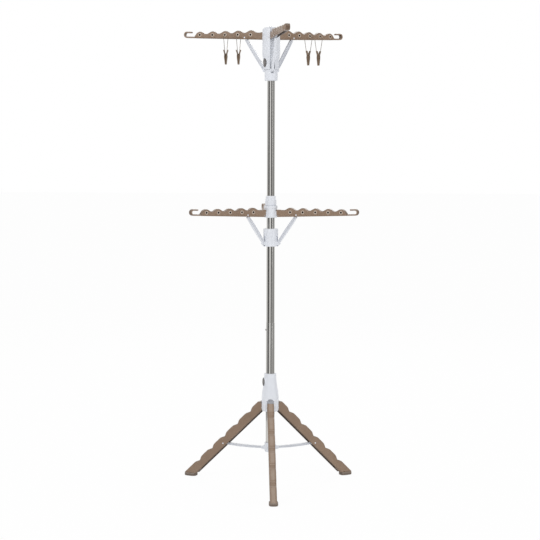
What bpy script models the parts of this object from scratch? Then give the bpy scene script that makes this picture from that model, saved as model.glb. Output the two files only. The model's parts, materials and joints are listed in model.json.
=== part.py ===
"""Two-tier tripod clothes drying rack.

A telescoped steel pole stands on three folding legs. Two tiers of three scalloped arms fold down
beside it, each arm propped by a strut from a runner that slides on the pole. Four clips hang
from the upper arms. The origin is on the floor at the pole's axis, +Z is up, and -Y is the side
that the rack is usually seen from.
"""

import math

import bmesh
import bpy
from mathutils import Matrix, Vector

MM = 0.001
DEG = math.radians(1)

# Fits and steps shared by the pieces
GAP = 0.3 * MM  # clearance between neighbouring pieces
OVERRUN = 4 * MM  # how far a cutter passes the face that it cuts
EDGE = 1.2 * MM  # small chamfers
SMOOTH_ANGLE = 35 * DEG
FULL_TURN = 2 * math.pi
QUARTER_TURN = math.pi / 2
ROUND_STEPS = 36  # sides of the large turned pieces
PIN_STEPS = 12  # sides of pins and holes
WIRE_STEPS = 8
OVAL_STEPS = 20
ARC_STEPS = 5  # runs on a rounded corner
ARCH_STEPS = 10
CROWN_STEPS = 4
BEVEL_STEPS = 2
BEVEL_ROUND_share = 0.5  # share of a full round in a softened edge

# Heights above the floor
SPREADER_BASE_Z = 116 * MM
BASE_HUB_Z = 259 * MM
BASE_BUTTON_Z = 361 * MM
SNAP_Z = 541 * MM
LOWER_TUBE_TOP_Z = 566 * MM
MID_RUNNER_Z = 830 * MM
MID_HUB_Z = 929 * MM
TOP_RUNNER_Z = 1395 * MM
HEAD_Z = 1433 * MM
TOP_BUTTON_Z = 1456 * MM

# How each ring of three arms or legs is turned about the pole
RING_STEP = 120 * DEG
TURNS = {"front": 0, "right": 1, "left": 2}
MID_TURNS = {"back": 0, "left": 1, "right": 2}
LEG_AZIMUTH = -87.9 * DEG
MID_AZIMUTH = 94.5 * DEG
TOP_AZIMUTH = -80.5 * DEG

# Pole: three telescoped steel tubes
UPPER_TUBE_RADIUS = 13.5 * MM
TUBE_WALL = 0.6 * MM
MIDDLE_TUBE_LAP = 100 * MM  # middle tube inside the lower one
UPPER_TUBE_LAP = 50 * MM  # upper tube inside the middle one
TUBE_SEAT_DEPTH = 13 * MM  # solid top of the head above the tube's end

# Snap button that joins the lower and middle tubes
SNAP_AZIMUTH = 186 * DEG
SNAP_RADIUS = 3.2 * MM
SNAP_STAND = 2.2 * MM  # beyond the lower tube
SNAP_FLANGE_RADIUS = 5 * MM
SNAP_FLANGE = 2 * MM

# Hinge pins, and the studs that struts and braces hang on
PIN_RADIUS = 2 * MM
STUD_RADIUS = 2.6 * MM
STUD_STAND = 0.5 * MM  # stud head beyond the channel's side
STUD_BITE = 3.5 * MM  # how deep a pin's ends lie in the walls that hold it

# Arm: a scalloped channel, open below, with a hook at its tip
ARM_WIDTH = 16 * MM
ARM_WALL = 1.8 * MM
ARM_WEB = 2 * MM
ARM_LENGTH = 295 * MM  # pivot to tip
ARM_PIVOT_RISE = 5.5 * MM  # pivot above the lower edge
ARM_INNER_CREST = 25.4 * MM  # first crest above the pivot
ARM_OUTER_CREST = 17 * MM  # last crest above the pivot
ARM_SCALLOP = 8.6 * MM
ARM_FIRST_CREST = 46 * MM
ARM_SCALLOPS = 4  # from the first crest to the last
ARM_HOLE_RADIUS = 3.5 * MM
ARM_STUD_REACH = 68 * MM
ARM_ROOT_TOP = 19.5 * MM
ARM_ROOT_LUG = 5 * MM
ARM_ROOT_SLOPE = 9 * MM
ARM_TILT = 2.2 * DEG
HOOK_LENGTH = 43 * MM
HOOK_LEAD = 18 * MM  # from the last crest to the hook
HOOK_TOP = 16.5 * MM
HOOK_WALL = 5.2 * MM
HOOK_MOUTH = 13 * MM
HOOK_CORNER = 10.5 * MM
SCALLOP_STEPS = 6  # runs on one scallop

# Struts and braces: flat links
LINK_WIDTH = 8 * MM
LINK_STEPS = 10
LINK_END_RADIUS = 4.5 * MM
STRUT_BELLY = 6.3 * MM  # half its height at mid length
STRUT_NOTCH = 9 * MM  # length of the half eye's opening
STRUT_ENTRY = 45 * DEG  # slope at which the stud comes back into the half eye
BRACE_END_RADIUS = 3.6 * MM
BRACE_HALF_HEIGHT = 4.4 * MM
BRACE_SAG = 2 * MM

# Forked ears that the links' lower pivots sit in
EAR_WALL = 4 * MM
EAR_RADIUS = 6 * MM
FORK_DEPTH = 6 * MM  # fork inward of the pivot
FORK_RISE = 24 * MM  # fork above the pivot, for a strut that stands up

# Spreader: the cup on the pole's lower end
SPREADER_RADIUS = 18.8 * MM
SPREADER_HEIGHT = 33 * MM
SPREADER_FLOOR = 3 * MM
SPREADER_PIVOT_RADIUS = 26 * MM
SPREADER_PIVOT_HEIGHT = 13 * MM

# Middle runner, hub and collar
MID_RUNNER_RADIUS = 25.4 * MM
MID_RUNNER_HEIGHT = 61 * MM
MID_RUNNER_WAIST = 20 * MM
MID_RUNNER_FLARE = 1.4 * MM
MID_RUNNER_PIVOT_RADIUS = 28 * MM
MID_RUNNER_PIVOT_HEIGHT = 11 * MM
MID_HUB_HEIGHT = 41 * MM
MID_HUB_RADIUS = 21.8 * MM
MID_HUB_TOP_RADIUS = 23.2 * MM
MID_HUB_FLANGE = 9 * MM
MID_PIVOT_RADIUS = 31 * MM
MID_PIVOT_HEIGHT = 8 * MM
TONGUE_RISE = 15 * MM
COLLAR_RADIUS = 18.8 * MM
COLLAR_TOP_RADIUS = 17.2 * MM
COLLAR_HEIGHT = 33 * MM
COLLAR_STEP = 22 * MM
COLLAR_SEAT = 15 * MM  # middle tube inside the collar

# Upper head: a slotted drum on top of the pole, and its runner
HEAD_HEIGHT = 134 * MM
HEAD_CROWN = 12 * MM
HEAD_RADIUS = 30.2 * MM
HEAD_FOOT_RADIUS = 26.6 * MM
HEAD_NECK_HEIGHT = 30 * MM
HEAD_SHOULDER_HEIGHT = 50 * MM
HEAD_SKIRT_HEIGHT = 79 * MM
HEAD_SKIRT_RADIUS = 24 * MM
HEAD_CORE_RADIUS = 19.5 * MM
HEAD_PIVOT_RADIUS = 27 * MM
HEAD_PIVOT_HEIGHT = 107 * MM
SLOT_SIDE_GAP = 0.5 * MM  # arm or leg in its slot, each side
TOP_RUNNER_RADIUS = 22.4 * MM
TOP_RUNNER_HEIGHT = 43 * MM
TOP_RUNNER_FLARE = 1.2 * MM
TOP_RUNNER_PIVOT_RADIUS = 23 * MM
TOP_RUNNER_PIVOT_HEIGHT = 35 * MM

# Base hub: a tapered socket that the legs hinge in
BASE_HUB_HEIGHT = 131 * MM
BASE_HUB_RADIUS = 29.3 * MM
BASE_HUB_LIP = 1.8 * MM
BASE_SKIRT_HEIGHT = 47 * MM
BASE_WAIST_HEIGHT = 90 * MM
BASE_HIP_RADIUS = 27.6 * MM
BASE_WAIST_RADIUS = 23.6 * MM
BASE_COLLAR_RADIUS = 20.8 * MM
BASE_COLLAR_HEIGHT = 18 * MM
BASE_PIVOT_RADIUS = 24 * MM
BASE_PIVOT_HEIGHT = 11.3 * MM
BASE_SLOT_RADIUS = 17.4 * MM
BASE_ARCH_HEIGHT = 32 * MM

# Release buttons, oval
BUTTON_BEVEL = 1.4 * MM
BUTTON_TRAVEL = 2.5 * MM
BOSS_WALL = 2.2 * MM
BASE_BUTTON_AZIMUTH = 205 * DEG
BASE_BUTTON_WIDTH = 16 * MM
BASE_BUTTON_HEIGHT = 28 * MM
BASE_BUTTON_THICKNESS = 6.5 * MM
BASE_BUTTON_FACE = 27 * MM  # its face from the pole's axis
BASE_BOSS_FACE = 25.4 * MM
TOP_BUTTON_AZIMUTH = 216 * DEG
TOP_BUTTON_WIDTH = 16 * MM
TOP_BUTTON_HEIGHT = 30 * MM
TOP_BUTTON_THICKNESS = 4.6 * MM
TOP_BUTTON_FACE = 29 * MM

# Leg: a wider channel, notched on top
LEG_WIDTH = 23 * MM
LEG_WALL = 1.8 * MM
LEG_WEB = 2 * MM
LEG_PIVOT_RISE = 6 * MM
LEG_CREST = 26.5 * MM
LEG_NOTCH = 7 * MM
LEG_NOTCH_POWER = 4  # how narrow the notches are
LEG_PITCH = 70 * MM
LEG_FIRST_NOTCH = 58 * MM
LEG_NOTCHES = 5
LEG_STEPS = 9  # runs between two notches
LEG_CORNER = 5 * MM
LEG_STUD_REACH = 211.5 * MM
LEG_STUD_RISE = 4.7 * MM

# Foot: a pad on the floor with a plug in the leg's end
FOOT_REACH = 341 * MM  # from the pole's axis to the pad's outer end
FOOT_LENGTH = 45 * MM
FOOT_LEAD = 40.5 * MM  # pad beyond the point where the leg's pivot line meets it
FOOT_WIDTH = 31 * MM
FOOT_HEIGHT = 11 * MM
FOOT_CORNER = 14 * MM
FOOT_BEVEL = 2 * MM
PLUG_LENGTH = 24 * MM
PLUG_HEIGHT = 15 * MM

# Clips on the upper arms: which arm, and which crest counted from the pole
CLIP_PLACES = (("left", 2), ("left", 1), ("right", 2), ("right", 3))
WIRE_RADIUS = 0.9 * MM
BAIL_TOP_HALF = 19 * MM
BAIL_FOOT_HALF = 6.8 * MM
BAIL_DROP = 64 * MM
BAIL_SHOULDER = 14 * MM
BAIL_BEND = 3 * MM
JAW_WIDTH = 10 * MM
JAW_THICKNESS = 2.4 * MM
JAW_FINGER_HEIGHT = 16 * MM
JAW_SPREAD = 9 * MM
JAW_BELLY = 3 * MM
JAW_WAIST_DROP = 9 * MM
JAW_LIP_DROP = 27 * MM
JAW_DROP = 35 * MM

# Colours as linear red, green, blue
WHITE_PLASTIC = (0.74, 0.76, 0.80)
TAN_PLASTIC = (0.26, 0.17, 0.12)
GREY_PLASTIC = (0.10, 0.10, 0.10)
PAD_RUBBER = (0.17, 0.13, 0.10)
POLE_STEEL = (0.55, 0.54, 0.52)

# Places and fits worked out from the sizes above
MIDDLE_TUBE_RADIUS = UPPER_TUBE_RADIUS + GAP + TUBE_WALL
LOWER_TUBE_RADIUS = MIDDLE_TUBE_RADIUS + GAP + TUBE_WALL
SPREADER_PIVOT_Z = SPREADER_BASE_Z + SPREADER_PIVOT_HEIGHT
BASE_PIVOT_Z = BASE_HUB_Z + BASE_PIVOT_HEIGHT
LEG_DROP = BASE_PIVOT_Z - FOOT_HEIGHT - GAP  # from a leg's pivot to the top of its pad
LEG_SLOPE = math.atan2(LEG_DROP, FOOT_REACH - FOOT_LEAD - BASE_PIVOT_RADIUS)  # below the horizontal
MID_PIVOT_Z = MID_HUB_Z + MID_PIVOT_HEIGHT
MID_RUNNER_PIVOT_Z = MID_RUNNER_Z + MID_RUNNER_PIVOT_HEIGHT
COLLAR_Z = MID_HUB_Z + MID_HUB_HEIGHT + GAP
MIDDLE_TUBE_TOP_Z = COLLAR_Z + COLLAR_SEAT
UPPER_TUBE_TOP_Z = HEAD_Z + HEAD_HEIGHT - TUBE_SEAT_DEPTH
HEAD_PIVOT_Z = HEAD_Z + HEAD_PIVOT_HEIGHT
TOP_RUNNER_PIVOT_Z = TOP_RUNNER_Z + TOP_RUNNER_PIVOT_HEIGHT
HEAD_CORE_Z = TOP_RUNNER_Z + TOP_RUNNER_HEIGHT + GAP
ARM_INNER_WIDTH = ARM_WIDTH - 2 * ARM_WALL
ARM_LAST_CREST = ARM_LENGTH - HOOK_LENGTH - HOOK_LEAD
ARM_PITCH = (ARM_LAST_CREST - ARM_FIRST_CREST) / ARM_SCALLOPS
LEG_INNER_WIDTH = LEG_WIDTH - 2 * LEG_WALL
EAR_SPAN = LINK_WIDTH + 2 * GAP + 2 * EAR_WALL


def plastic(name, colour, roughness=0.4, metallic=0.0):
    """A plain Principled material."""
    material = bpy.data.materials.new(name)
    material.use_nodes = True
    shader = material.node_tree.nodes["Principled BSDF"]
    shader.inputs["Base Color"].default_value = (*colour, 1)
    shader.inputs["Roughness"].default_value = roughness
    shader.inputs["Metallic"].default_value = metallic
    material.diffuse_color = (*colour, 1)
    return material


# Shapes


def arc(centre, radius, start, end, steps=ARC_STEPS):
    """Points on an arc in a 2-D outline, both ends included."""
    angles = [start + (end - start) * i / steps for i in range(steps + 1)]
    return [(centre[0] + radius * math.cos(a), centre[1] + radius * math.sin(a)) for a in angles]


def add_object(name, shape, material=None):
    """A bmesh made into an object, with its faces turned outwards."""
    bmesh.ops.recalc_face_normals(shape, faces=shape.faces)
    mesh = bpy.data.meshes.new(name)
    shape.to_mesh(mesh)
    shape.free()
    piece = bpy.data.objects.new(name, mesh)
    bpy.context.scene.collection.objects.link(piece)
    if material:
        mesh.materials.append(material)
    return piece


def soften(shape, edges, width):
    """Rounds the given edges of a bmesh."""
    bmesh.ops.bevel(
        shape, geom=edges, offset=width, segments=BEVEL_STEPS, profile=BEVEL_ROUND_share,
        affect="EDGES",
    )


def drawn_out(shape, corners, offset):
    """A flat face through the corners, drawn out along the offset. Returns the far corners."""
    face = shape.faces.new([shape.verts.new(corner) for corner in corners])
    drawn = bmesh.ops.extrude_face_region(shape, geom=[face])
    far = [item for item in drawn["geom"] if isinstance(item, bmesh.types.BMVert)]
    bmesh.ops.translate(shape, verts=far, vec=offset)
    return far


def prism(name, outline, width, material=None):
    """A side outline in X and Z, drawn out to a width centred on Y."""
    shape = bmesh.new()
    drawn_out(shape, [(x, -width / 2, z) for x, z in outline], (0, width, 0))
    return add_object(name, shape, material)


def oval_block(name, width, height, near, far, bevel=0.0, material=None):
    """An oval in Y and Z, drawn out along X, with its far rim bevelled where asked."""
    sides = [FULL_TURN * i / OVAL_STEPS for i in range(OVAL_STEPS)]
    outline = [(near, width / 2 * math.cos(a), height / 2 * math.sin(a)) for a in sides]
    shape = bmesh.new()
    rim = drawn_out(shape, outline, (far - near, 0, 0))
    if bevel:
        edges = [edge for edge in shape.edges if all(corner in rim for corner in edge.verts)]
        soften(shape, edges, bevel)
    return add_object(name, shape, material)


def turned(name, profile, material=None, steps=ROUND_STEPS):
    """An outline of radius and height spun about Z. It may start and end on the axis."""
    shape = bmesh.new()
    ring = [shape.verts.new((radius, 0, height)) for radius, height in profile]
    solid = profile[0][0] == 0
    ends = ring[1:] if solid else ring[1:] + ring[:1]
    edges = [shape.edges.new(pair) for pair in zip(ring, ends)]
    bmesh.ops.spin(
        shape, geom=ring + edges, cent=(0, 0, 0), axis=(0, 0, 1), angle=FULL_TURN, steps=steps
    )
    bmesh.ops.remove_doubles(shape, verts=shape.verts, dist=GAP / 100)
    return add_object(name, shape, material)


def cylinder(name, radius, low, high, material=None, steps=ROUND_STEPS):
    """A solid round bar along Z between two heights."""
    return turned(name, [(0, low), (radius, low), (radius, high), (0, high)], material, steps)


def rod(name, radius, length, material=None):
    """A pin or a hole's cutter along Y, centred on its origin."""
    bar = cylinder(name, radius, -length / 2, length / 2, material, PIN_STEPS)
    return placed(bar, Matrix.Rotation(QUARTER_TURN, 4, "X"))


def block(name, low, high, material=None):
    """A box between two corners, each given as X, Y and Z."""
    outline = [(low[0], low[2]), (high[0], low[2]), (high[0], high[2]), (low[0], high[2])]
    piece = prism(name, outline, high[1] - low[1], material)
    return placed(piece, Matrix.Translation((0, (high[1] + low[1]) / 2, 0)))


def placed(piece, matrix):
    """The piece with a transform taken into its mesh."""
    piece.data.transform(matrix)
    return piece


def shifted(piece, x, z):
    """The piece moved in its side view."""
    return placed(piece, Matrix.Translation((x, 0, z)))


def combine(target, tool, operation):
    """One Boolean, taken into the target's mesh. The tool is removed."""
    modifier = target.modifiers.new(operation, "BOOLEAN")
    modifier.operation = operation
    modifier.solver = "EXACT"
    modifier.object = tool
    graph = bpy.context.evaluated_depsgraph_get()
    mesh = bpy.data.meshes.new_from_object(target.evaluated_get(graph))
    target.modifiers.clear()
    target.data = mesh
    bpy.data.objects.remove(tool)
    return target


def cut(target, *tools):
    """The target with each tool's shape taken away."""
    for tool in tools:
        combine(target, tool, "DIFFERENCE")
    return target


def join(target, *tools):
    """The target and the tools as one body."""
    for tool in tools:
        combine(target, tool, "UNION")
    return target


def about_pole(azimuth, radius=0.0, height=0.0, pitch=0.0):
    """The frame of a piece on the pole: X out along the azimuth, then pitched downwards."""
    turn = Matrix.Rotation(azimuth, 4, "Z")
    place = Matrix.Translation((radius, 0, height))
    return turn @ place @ Matrix.Rotation(pitch, 4, "Y")


def radial(azimuth, height):
    """The frame of a turned piece whose axis points out from the pole."""
    return about_pole(azimuth, 0, height) @ Matrix.Rotation(QUARTER_TURN, 4, "Y")


def set_down(piece, matrix=None):
    """Sets a finished piece in its place and smooths its round faces."""
    piece.data.shade_smooth()
    piece.data.set_sharp_from_angle(angle=SMOOTH_ANGLE)
    if matrix:
        piece.matrix_world = matrix
    return piece


def copy_of(piece, name):
    """Another object on the same mesh."""
    twin = bpy.data.objects.new(name, piece.data)
    bpy.context.scene.collection.objects.link(twin)
    return twin


def set_round(piece, name, azimuths, frame):
    """One copy of a piece for each place of a ring, framed by its azimuth."""
    for side, azimuth in azimuths.items():
        set_down(copy_of(piece, f"{side}_{name}"), frame(azimuth))
    bpy.data.objects.remove(piece)


def ring_of(azimuth, turns=TURNS):
    """The azimuths of the three places of a ring, by name."""
    return {side: azimuth + turn * RING_STEP for side, turn in turns.items()}


# Arms


def crest_line(x):
    """Height of the arm's crests above its pivot, tapering from the first scallop outwards."""
    span = ARM_LAST_CREST - ARM_FIRST_CREST
    return ARM_INNER_CREST + (ARM_OUTER_CREST - ARM_INNER_CREST) * (x - ARM_FIRST_CREST) / span


def scalloped(x):
    """Height of the arm's scalloped edge above its pivot."""
    wave_share = 0.5 - 0.5 * math.cos(FULL_TURN * (x - ARM_FIRST_CREST) / ARM_PITCH)
    return crest_line(x) - ARM_SCALLOP * wave_share


def arm_top(start, drop=0.0):
    """Points along the arm's upper edge, from the last crest's outer side in to the root."""
    valley = ARM_FIRST_CREST - ARM_PITCH / 2
    count = round((start - valley) / ARM_PITCH * SCALLOP_STEPS)
    step = (start - valley) / count
    points = [(start - step * i, scalloped(start - step * i) - drop) for i in range(count + 1)]
    points.append((ARM_ROOT_LUG + ARM_ROOT_SLOPE - drop / 2, scalloped(valley) - drop))
    points.append((ARM_ROOT_LUG - drop / 2, ARM_ROOT_TOP - drop))
    return points


def hole_place(place):
    """Centre of a hanger hole in the arm's frame, half way up the channel at its crest."""
    x = ARM_FIRST_CREST + ARM_PITCH * place
    return x, (scalloped(x) - ARM_PIVOT_RISE) / 2


def make_arm(material):
    """The arm's channel and hook in its own frame: origin on the pivot, X out along the arm."""
    low = -ARM_PIVOT_RISE
    tip = ARM_LENGTH
    mouth = tip - HOOK_LENGTH
    shoulder = ARM_LAST_CREST + ARM_PITCH / 4
    slot_low = low + HOOK_WALL
    slot_high = HOOK_TOP - HOOK_WALL
    slot_radius = (slot_high - slot_low) / 2
    slot_centre = (tip - HOOK_WALL - slot_radius, (slot_high + slot_low) / 2)
    finger_radius = HOOK_WALL / 2
    finger = (mouth + HOOK_MOUTH + finger_radius, slot_high + finger_radius)

    outline = arc((0, 0), ARM_PIVOT_RISE, 2 * QUARTER_TURN, 3 * QUARTER_TURN)
    outline += arc((tip - HOOK_CORNER, low + HOOK_CORNER), HOOK_CORNER, -QUARTER_TURN, 0)
    outline += arc((tip - HOOK_CORNER, HOOK_TOP - HOOK_CORNER), HOOK_CORNER, 0, QUARTER_TURN)
    outline += arc(finger, finger_radius, QUARTER_TURN, 3 * QUARTER_TURN)
    outline += arc(slot_centre, slot_radius, QUARTER_TURN, -QUARTER_TURN)
    outline.append((mouth + finger_radius, slot_low))
    outline += arm_top(shoulder)
    outline.append((low, ARM_ROOT_TOP))
    arm = prism("arm", outline, ARM_WIDTH, material)

    across = ARM_WIDTH + 2 * OVERRUN
    for place in range(ARM_SCALLOPS + 1):
        cut(arm, shifted(rod("hole", ARM_HOLE_RADIUS, across), *hole_place(place)))
    cut(arm, rod("eye", PIN_RADIUS + GAP, across))
    cut(arm, shifted(rod("stud_hole", STUD_RADIUS + GAP, across), ARM_STUD_REACH, 0))

    end = mouth - HOOK_WALL
    below = low - OVERRUN
    cavity = [(below, below), (end, below), (end, low + ARM_WEB)]
    cavity += arm_top(shoulder, ARM_WEB)
    cavity.append((below, ARM_ROOT_TOP - ARM_WEB))
    return cut(arm, prism("cavity", cavity, ARM_INNER_WIDTH))


def strut_rise(pivot_radius, pivot_z, runner_radius, runner_z):
    """A strut's length and its pitch, from its runner's pivot to the stud in the arm."""
    stud = Vector((ARM_STUD_REACH * math.cos(ARM_TILT), ARM_STUD_REACH * math.sin(ARM_TILT)))
    run = pivot_radius - runner_radius + stud.x
    rise = pivot_z - runner_z + stud.y
    return math.hypot(run, rise), math.atan2(rise, run)


def make_link(name, length, end_radius, half_height, sag, material):
    """A flat link with round ends, drawn along X from the eye at its origin."""
    upper, lower = [], []
    for i in range(1, LINK_STEPS):
        along_share = i / LINK_STEPS
        bow_share = math.sin(math.pi * along_share)
        half = end_radius + (half_height - end_radius) * bow_share
        upper.append((length * along_share, half - sag * bow_share))
        lower.append((length * along_share, -half - sag * bow_share))
    outline = arc((0, 0), end_radius, QUARTER_TURN, 3 * QUARTER_TURN)
    outline += lower
    outline += arc((length, 0), end_radius, -QUARTER_TURN, QUARTER_TURN)
    outline += reversed(upper)
    link = prism(name, outline, LINK_WIDTH, material)
    return cut(link, rod("eye", PIN_RADIUS + GAP, LINK_WIDTH + 2 * OVERRUN))


def make_strut(length, material):
    """A strut whose far end is half an eye, open below, because its pivot is an open one."""
    strut = make_link("strut", length, LINK_END_RADIUS, STRUT_BELLY, 0, material)
    across = LINK_WIDTH + 2 * OVERRUN
    eye = STUD_RADIUS + GAP
    reach = LINK_END_RADIUS + OVERRUN
    cut(strut, shifted(rod("half_eye", eye, across), length, 0))
    entry = block("entry", (-STRUT_NOTCH, -across / 2, -eye), (0, across / 2, eye))
    cut(strut, shifted(placed(entry, Matrix.Rotation(-STRUT_ENTRY, 4, "Y")), length, 0))
    low = (length - STRUT_NOTCH, -across / 2, -reach)
    high = (length + reach, across / 2, 0)
    return cut(strut, block("notch", low, high))


def make_tier(tier, azimuths, pivot_radius, pivot_z, runner_radius, runner_z, arm, white):
    """Three arms of one tier with their struts and the studs that hold the struts."""
    set_round(arm, f"{tier}_arm", azimuths, lambda a: about_pole(a, pivot_radius, pivot_z, -ARM_TILT))

    length, rise = strut_rise(pivot_radius, pivot_z, runner_radius, runner_z)
    strut = make_strut(length, white)
    set_round(strut, f"{tier}_strut", azimuths, lambda a: about_pole(a, runner_radius, runner_z, -rise))

    stud = shifted(rod("stud", STUD_RADIUS, ARM_WIDTH + 2 * STUD_STAND, white), ARM_STUD_REACH, 0)
    set_round(stud, f"{tier}_stud", azimuths, lambda a: about_pole(a, pivot_radius, pivot_z, -ARM_TILT))


# Sleeves on the pole


def ear(pivot_radius, pivot_z, azimuth):
    """A lug round a link's pivot, run in to the pole's axis for a sleeve to take up."""
    outline = arc((pivot_radius, pivot_z), EAR_RADIUS, -QUARTER_TURN, QUARTER_TURN)
    outline += [(0, pivot_z + EAR_RADIUS), (0, pivot_z - EAR_RADIUS)]
    return placed(prism("ear", outline, EAR_SPAN), Matrix.Rotation(azimuth, 4, "Z"))


def make_sleeve(name, profile, bore, pivot_radius, pivot_z, azimuth, above, below, material):
    """A turned sleeve with three forked ears, each with the stud that a link hangs on."""
    sleeve = turned(name, profile, material)
    azimuths = ring_of(azimuth).values()
    for place in azimuths:
        join(sleeve, ear(pivot_radius, pivot_z, place))
    reach = EAR_RADIUS + OVERRUN
    half = LINK_WIDTH / 2 + GAP
    for place in azimuths:
        fork = block(
            "fork",
            (pivot_radius - FORK_DEPTH, -half, pivot_z - below),
            (pivot_radius + reach, half, pivot_z + above),
        )
        cut(sleeve, placed(fork, Matrix.Rotation(place, 4, "Z")))
        stud = shifted(rod("stud", PIN_RADIUS, EAR_SPAN - EAR_WALL), pivot_radius, pivot_z)
        join(sleeve, placed(stud, Matrix.Rotation(place, 4, "Z")))
    low = min(height for _, height in profile)
    high = max(height for _, height in profile)
    return cut(sleeve, cylinder("bore", bore, low - OVERRUN, high + OVERRUN))


def make_mid_runner(white):
    base, top = MID_RUNNER_Z, MID_RUNNER_Z + MID_RUNNER_HEIGHT
    flare = MID_RUNNER_RADIUS + MID_RUNNER_FLARE
    waist = base + MID_RUNNER_WAIST
    profile = [(0, base), (flare - EDGE, base), (flare, base + EDGE), (flare, waist)]
    profile += [(MID_RUNNER_RADIUS, waist + EDGE), (MID_RUNNER_RADIUS, top - EDGE)]
    profile += [(MID_RUNNER_RADIUS - EDGE, top), (0, top)]
    runner = make_sleeve(
        "mid_runner", profile, MIDDLE_TUBE_RADIUS + GAP, MID_RUNNER_PIVOT_RADIUS,
        MID_RUNNER_PIVOT_Z, MID_AZIMUTH, FORK_RISE, EAR_RADIUS + OVERRUN, white,
    )
    set_down(runner)


def make_top_runner(white):
    base, top = TOP_RUNNER_Z, TOP_RUNNER_Z + TOP_RUNNER_HEIGHT
    radius = TOP_RUNNER_RADIUS
    profile = [(0, base), (radius - TOP_RUNNER_FLARE, base), (radius, base + EAR_RADIUS)]
    profile += [(radius, top - EDGE), (radius - EDGE, top), (0, top)]
    runner = make_sleeve(
        "top_runner", profile, UPPER_TUBE_RADIUS + GAP, TOP_RUNNER_PIVOT_RADIUS,
        TOP_RUNNER_PIVOT_Z, TOP_AZIMUTH, FORK_RISE, EAR_RADIUS + OVERRUN, white,
    )
    set_down(runner)


def make_spreader(white):
    """The cup on the pole's foot, which carries the braces."""
    base, top = SPREADER_BASE_Z, SPREADER_BASE_Z + SPREADER_HEIGHT
    radius = SPREADER_RADIUS
    profile = [(0, base), (radius - EDGE, base), (radius, base + EDGE), (radius, top - EDGE)]
    profile += [(radius - EDGE, top), (0, top)]
    bore_z = base + SPREADER_FLOOR
    spreader = turned("spreader", profile, white)
    reach = EAR_RADIUS + OVERRUN
    half = LINK_WIDTH / 2 + GAP
    for azimuth in ring_of(LEG_AZIMUTH).values():
        turn = Matrix.Rotation(azimuth, 4, "Z")
        join(spreader, ear(SPREADER_PIVOT_RADIUS, SPREADER_PIVOT_Z, azimuth))
        low = (SPREADER_PIVOT_RADIUS - FORK_DEPTH, -half, SPREADER_PIVOT_Z - reach)
        high = (SPREADER_PIVOT_RADIUS + reach, half, SPREADER_PIVOT_Z + reach)
        cut(spreader, placed(block("fork", low, high), turn))
        stud = rod("stud", PIN_RADIUS, EAR_SPAN - EAR_WALL)
        shifted(stud, SPREADER_PIVOT_RADIUS, SPREADER_PIVOT_Z)
        join(spreader, placed(stud, turn))
    cut(spreader, cylinder("bore", LOWER_TUBE_RADIUS + GAP, bore_z, top + OVERRUN))
    set_down(spreader)


def make_mid_hub(white):
    """The hub under the collar, with a tongue and a molded hinge stud inside each arm's root."""
    base, top = MID_HUB_Z, MID_HUB_Z + MID_HUB_HEIGHT
    flange = top - MID_HUB_FLANGE
    profile = [(0, base), (MID_HUB_RADIUS - EDGE, base), (MID_HUB_RADIUS, base + EDGE)]
    profile += [(MID_HUB_RADIUS, flange - EDGE), (MID_HUB_TOP_RADIUS, flange), (MID_HUB_TOP_RADIUS, top)]
    profile.append((0, top))
    hub = turned("mid_hub", profile, white)
    width = ARM_INNER_WIDTH - 2 * GAP
    nose = ARM_PIVOT_RISE - GAP
    for azimuth in ring_of(MID_AZIMUTH).values():
        turn = Matrix.Rotation(azimuth, 4, "Z")
        outline = arc((MID_PIVOT_RADIUS, MID_PIVOT_Z), nose, -QUARTER_TURN, QUARTER_TURN / 2)
        outline += [(MID_HUB_RADIUS, MID_PIVOT_Z + TONGUE_RISE), (0, MID_PIVOT_Z + TONGUE_RISE)]
        outline.append((0, MID_PIVOT_Z - nose))
        join(hub, placed(prism("tongue", outline, width), turn))
        stud = shifted(rod("stud", PIN_RADIUS, ARM_WIDTH), MID_PIVOT_RADIUS, MID_PIVOT_Z)
        join(hub, placed(stud, turn))
    cut(hub, cylinder("bore", MIDDLE_TUBE_RADIUS + GAP, base - OVERRUN, top + OVERRUN))
    set_down(hub)


def make_mid_collar(white):
    """The collar that grips the upper tube where it enters the middle one."""
    low, high = COLLAR_Z, COLLAR_Z + COLLAR_HEIGHT
    step = low + COLLAR_STEP
    seat = MIDDLE_TUBE_TOP_Z + GAP
    wide, narrow = MIDDLE_TUBE_RADIUS + GAP, UPPER_TUBE_RADIUS + GAP
    profile = [(wide, low), (COLLAR_RADIUS, low), (COLLAR_RADIUS, step - EDGE)]
    profile += [(COLLAR_TOP_RADIUS, step + EDGE), (COLLAR_TOP_RADIUS, high - EDGE)]
    profile += [(COLLAR_TOP_RADIUS - EDGE, high), (narrow, high), (narrow, seat), (wide, seat)]
    set_down(turned("mid_collar", profile, white))


# Head and base hub


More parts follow.
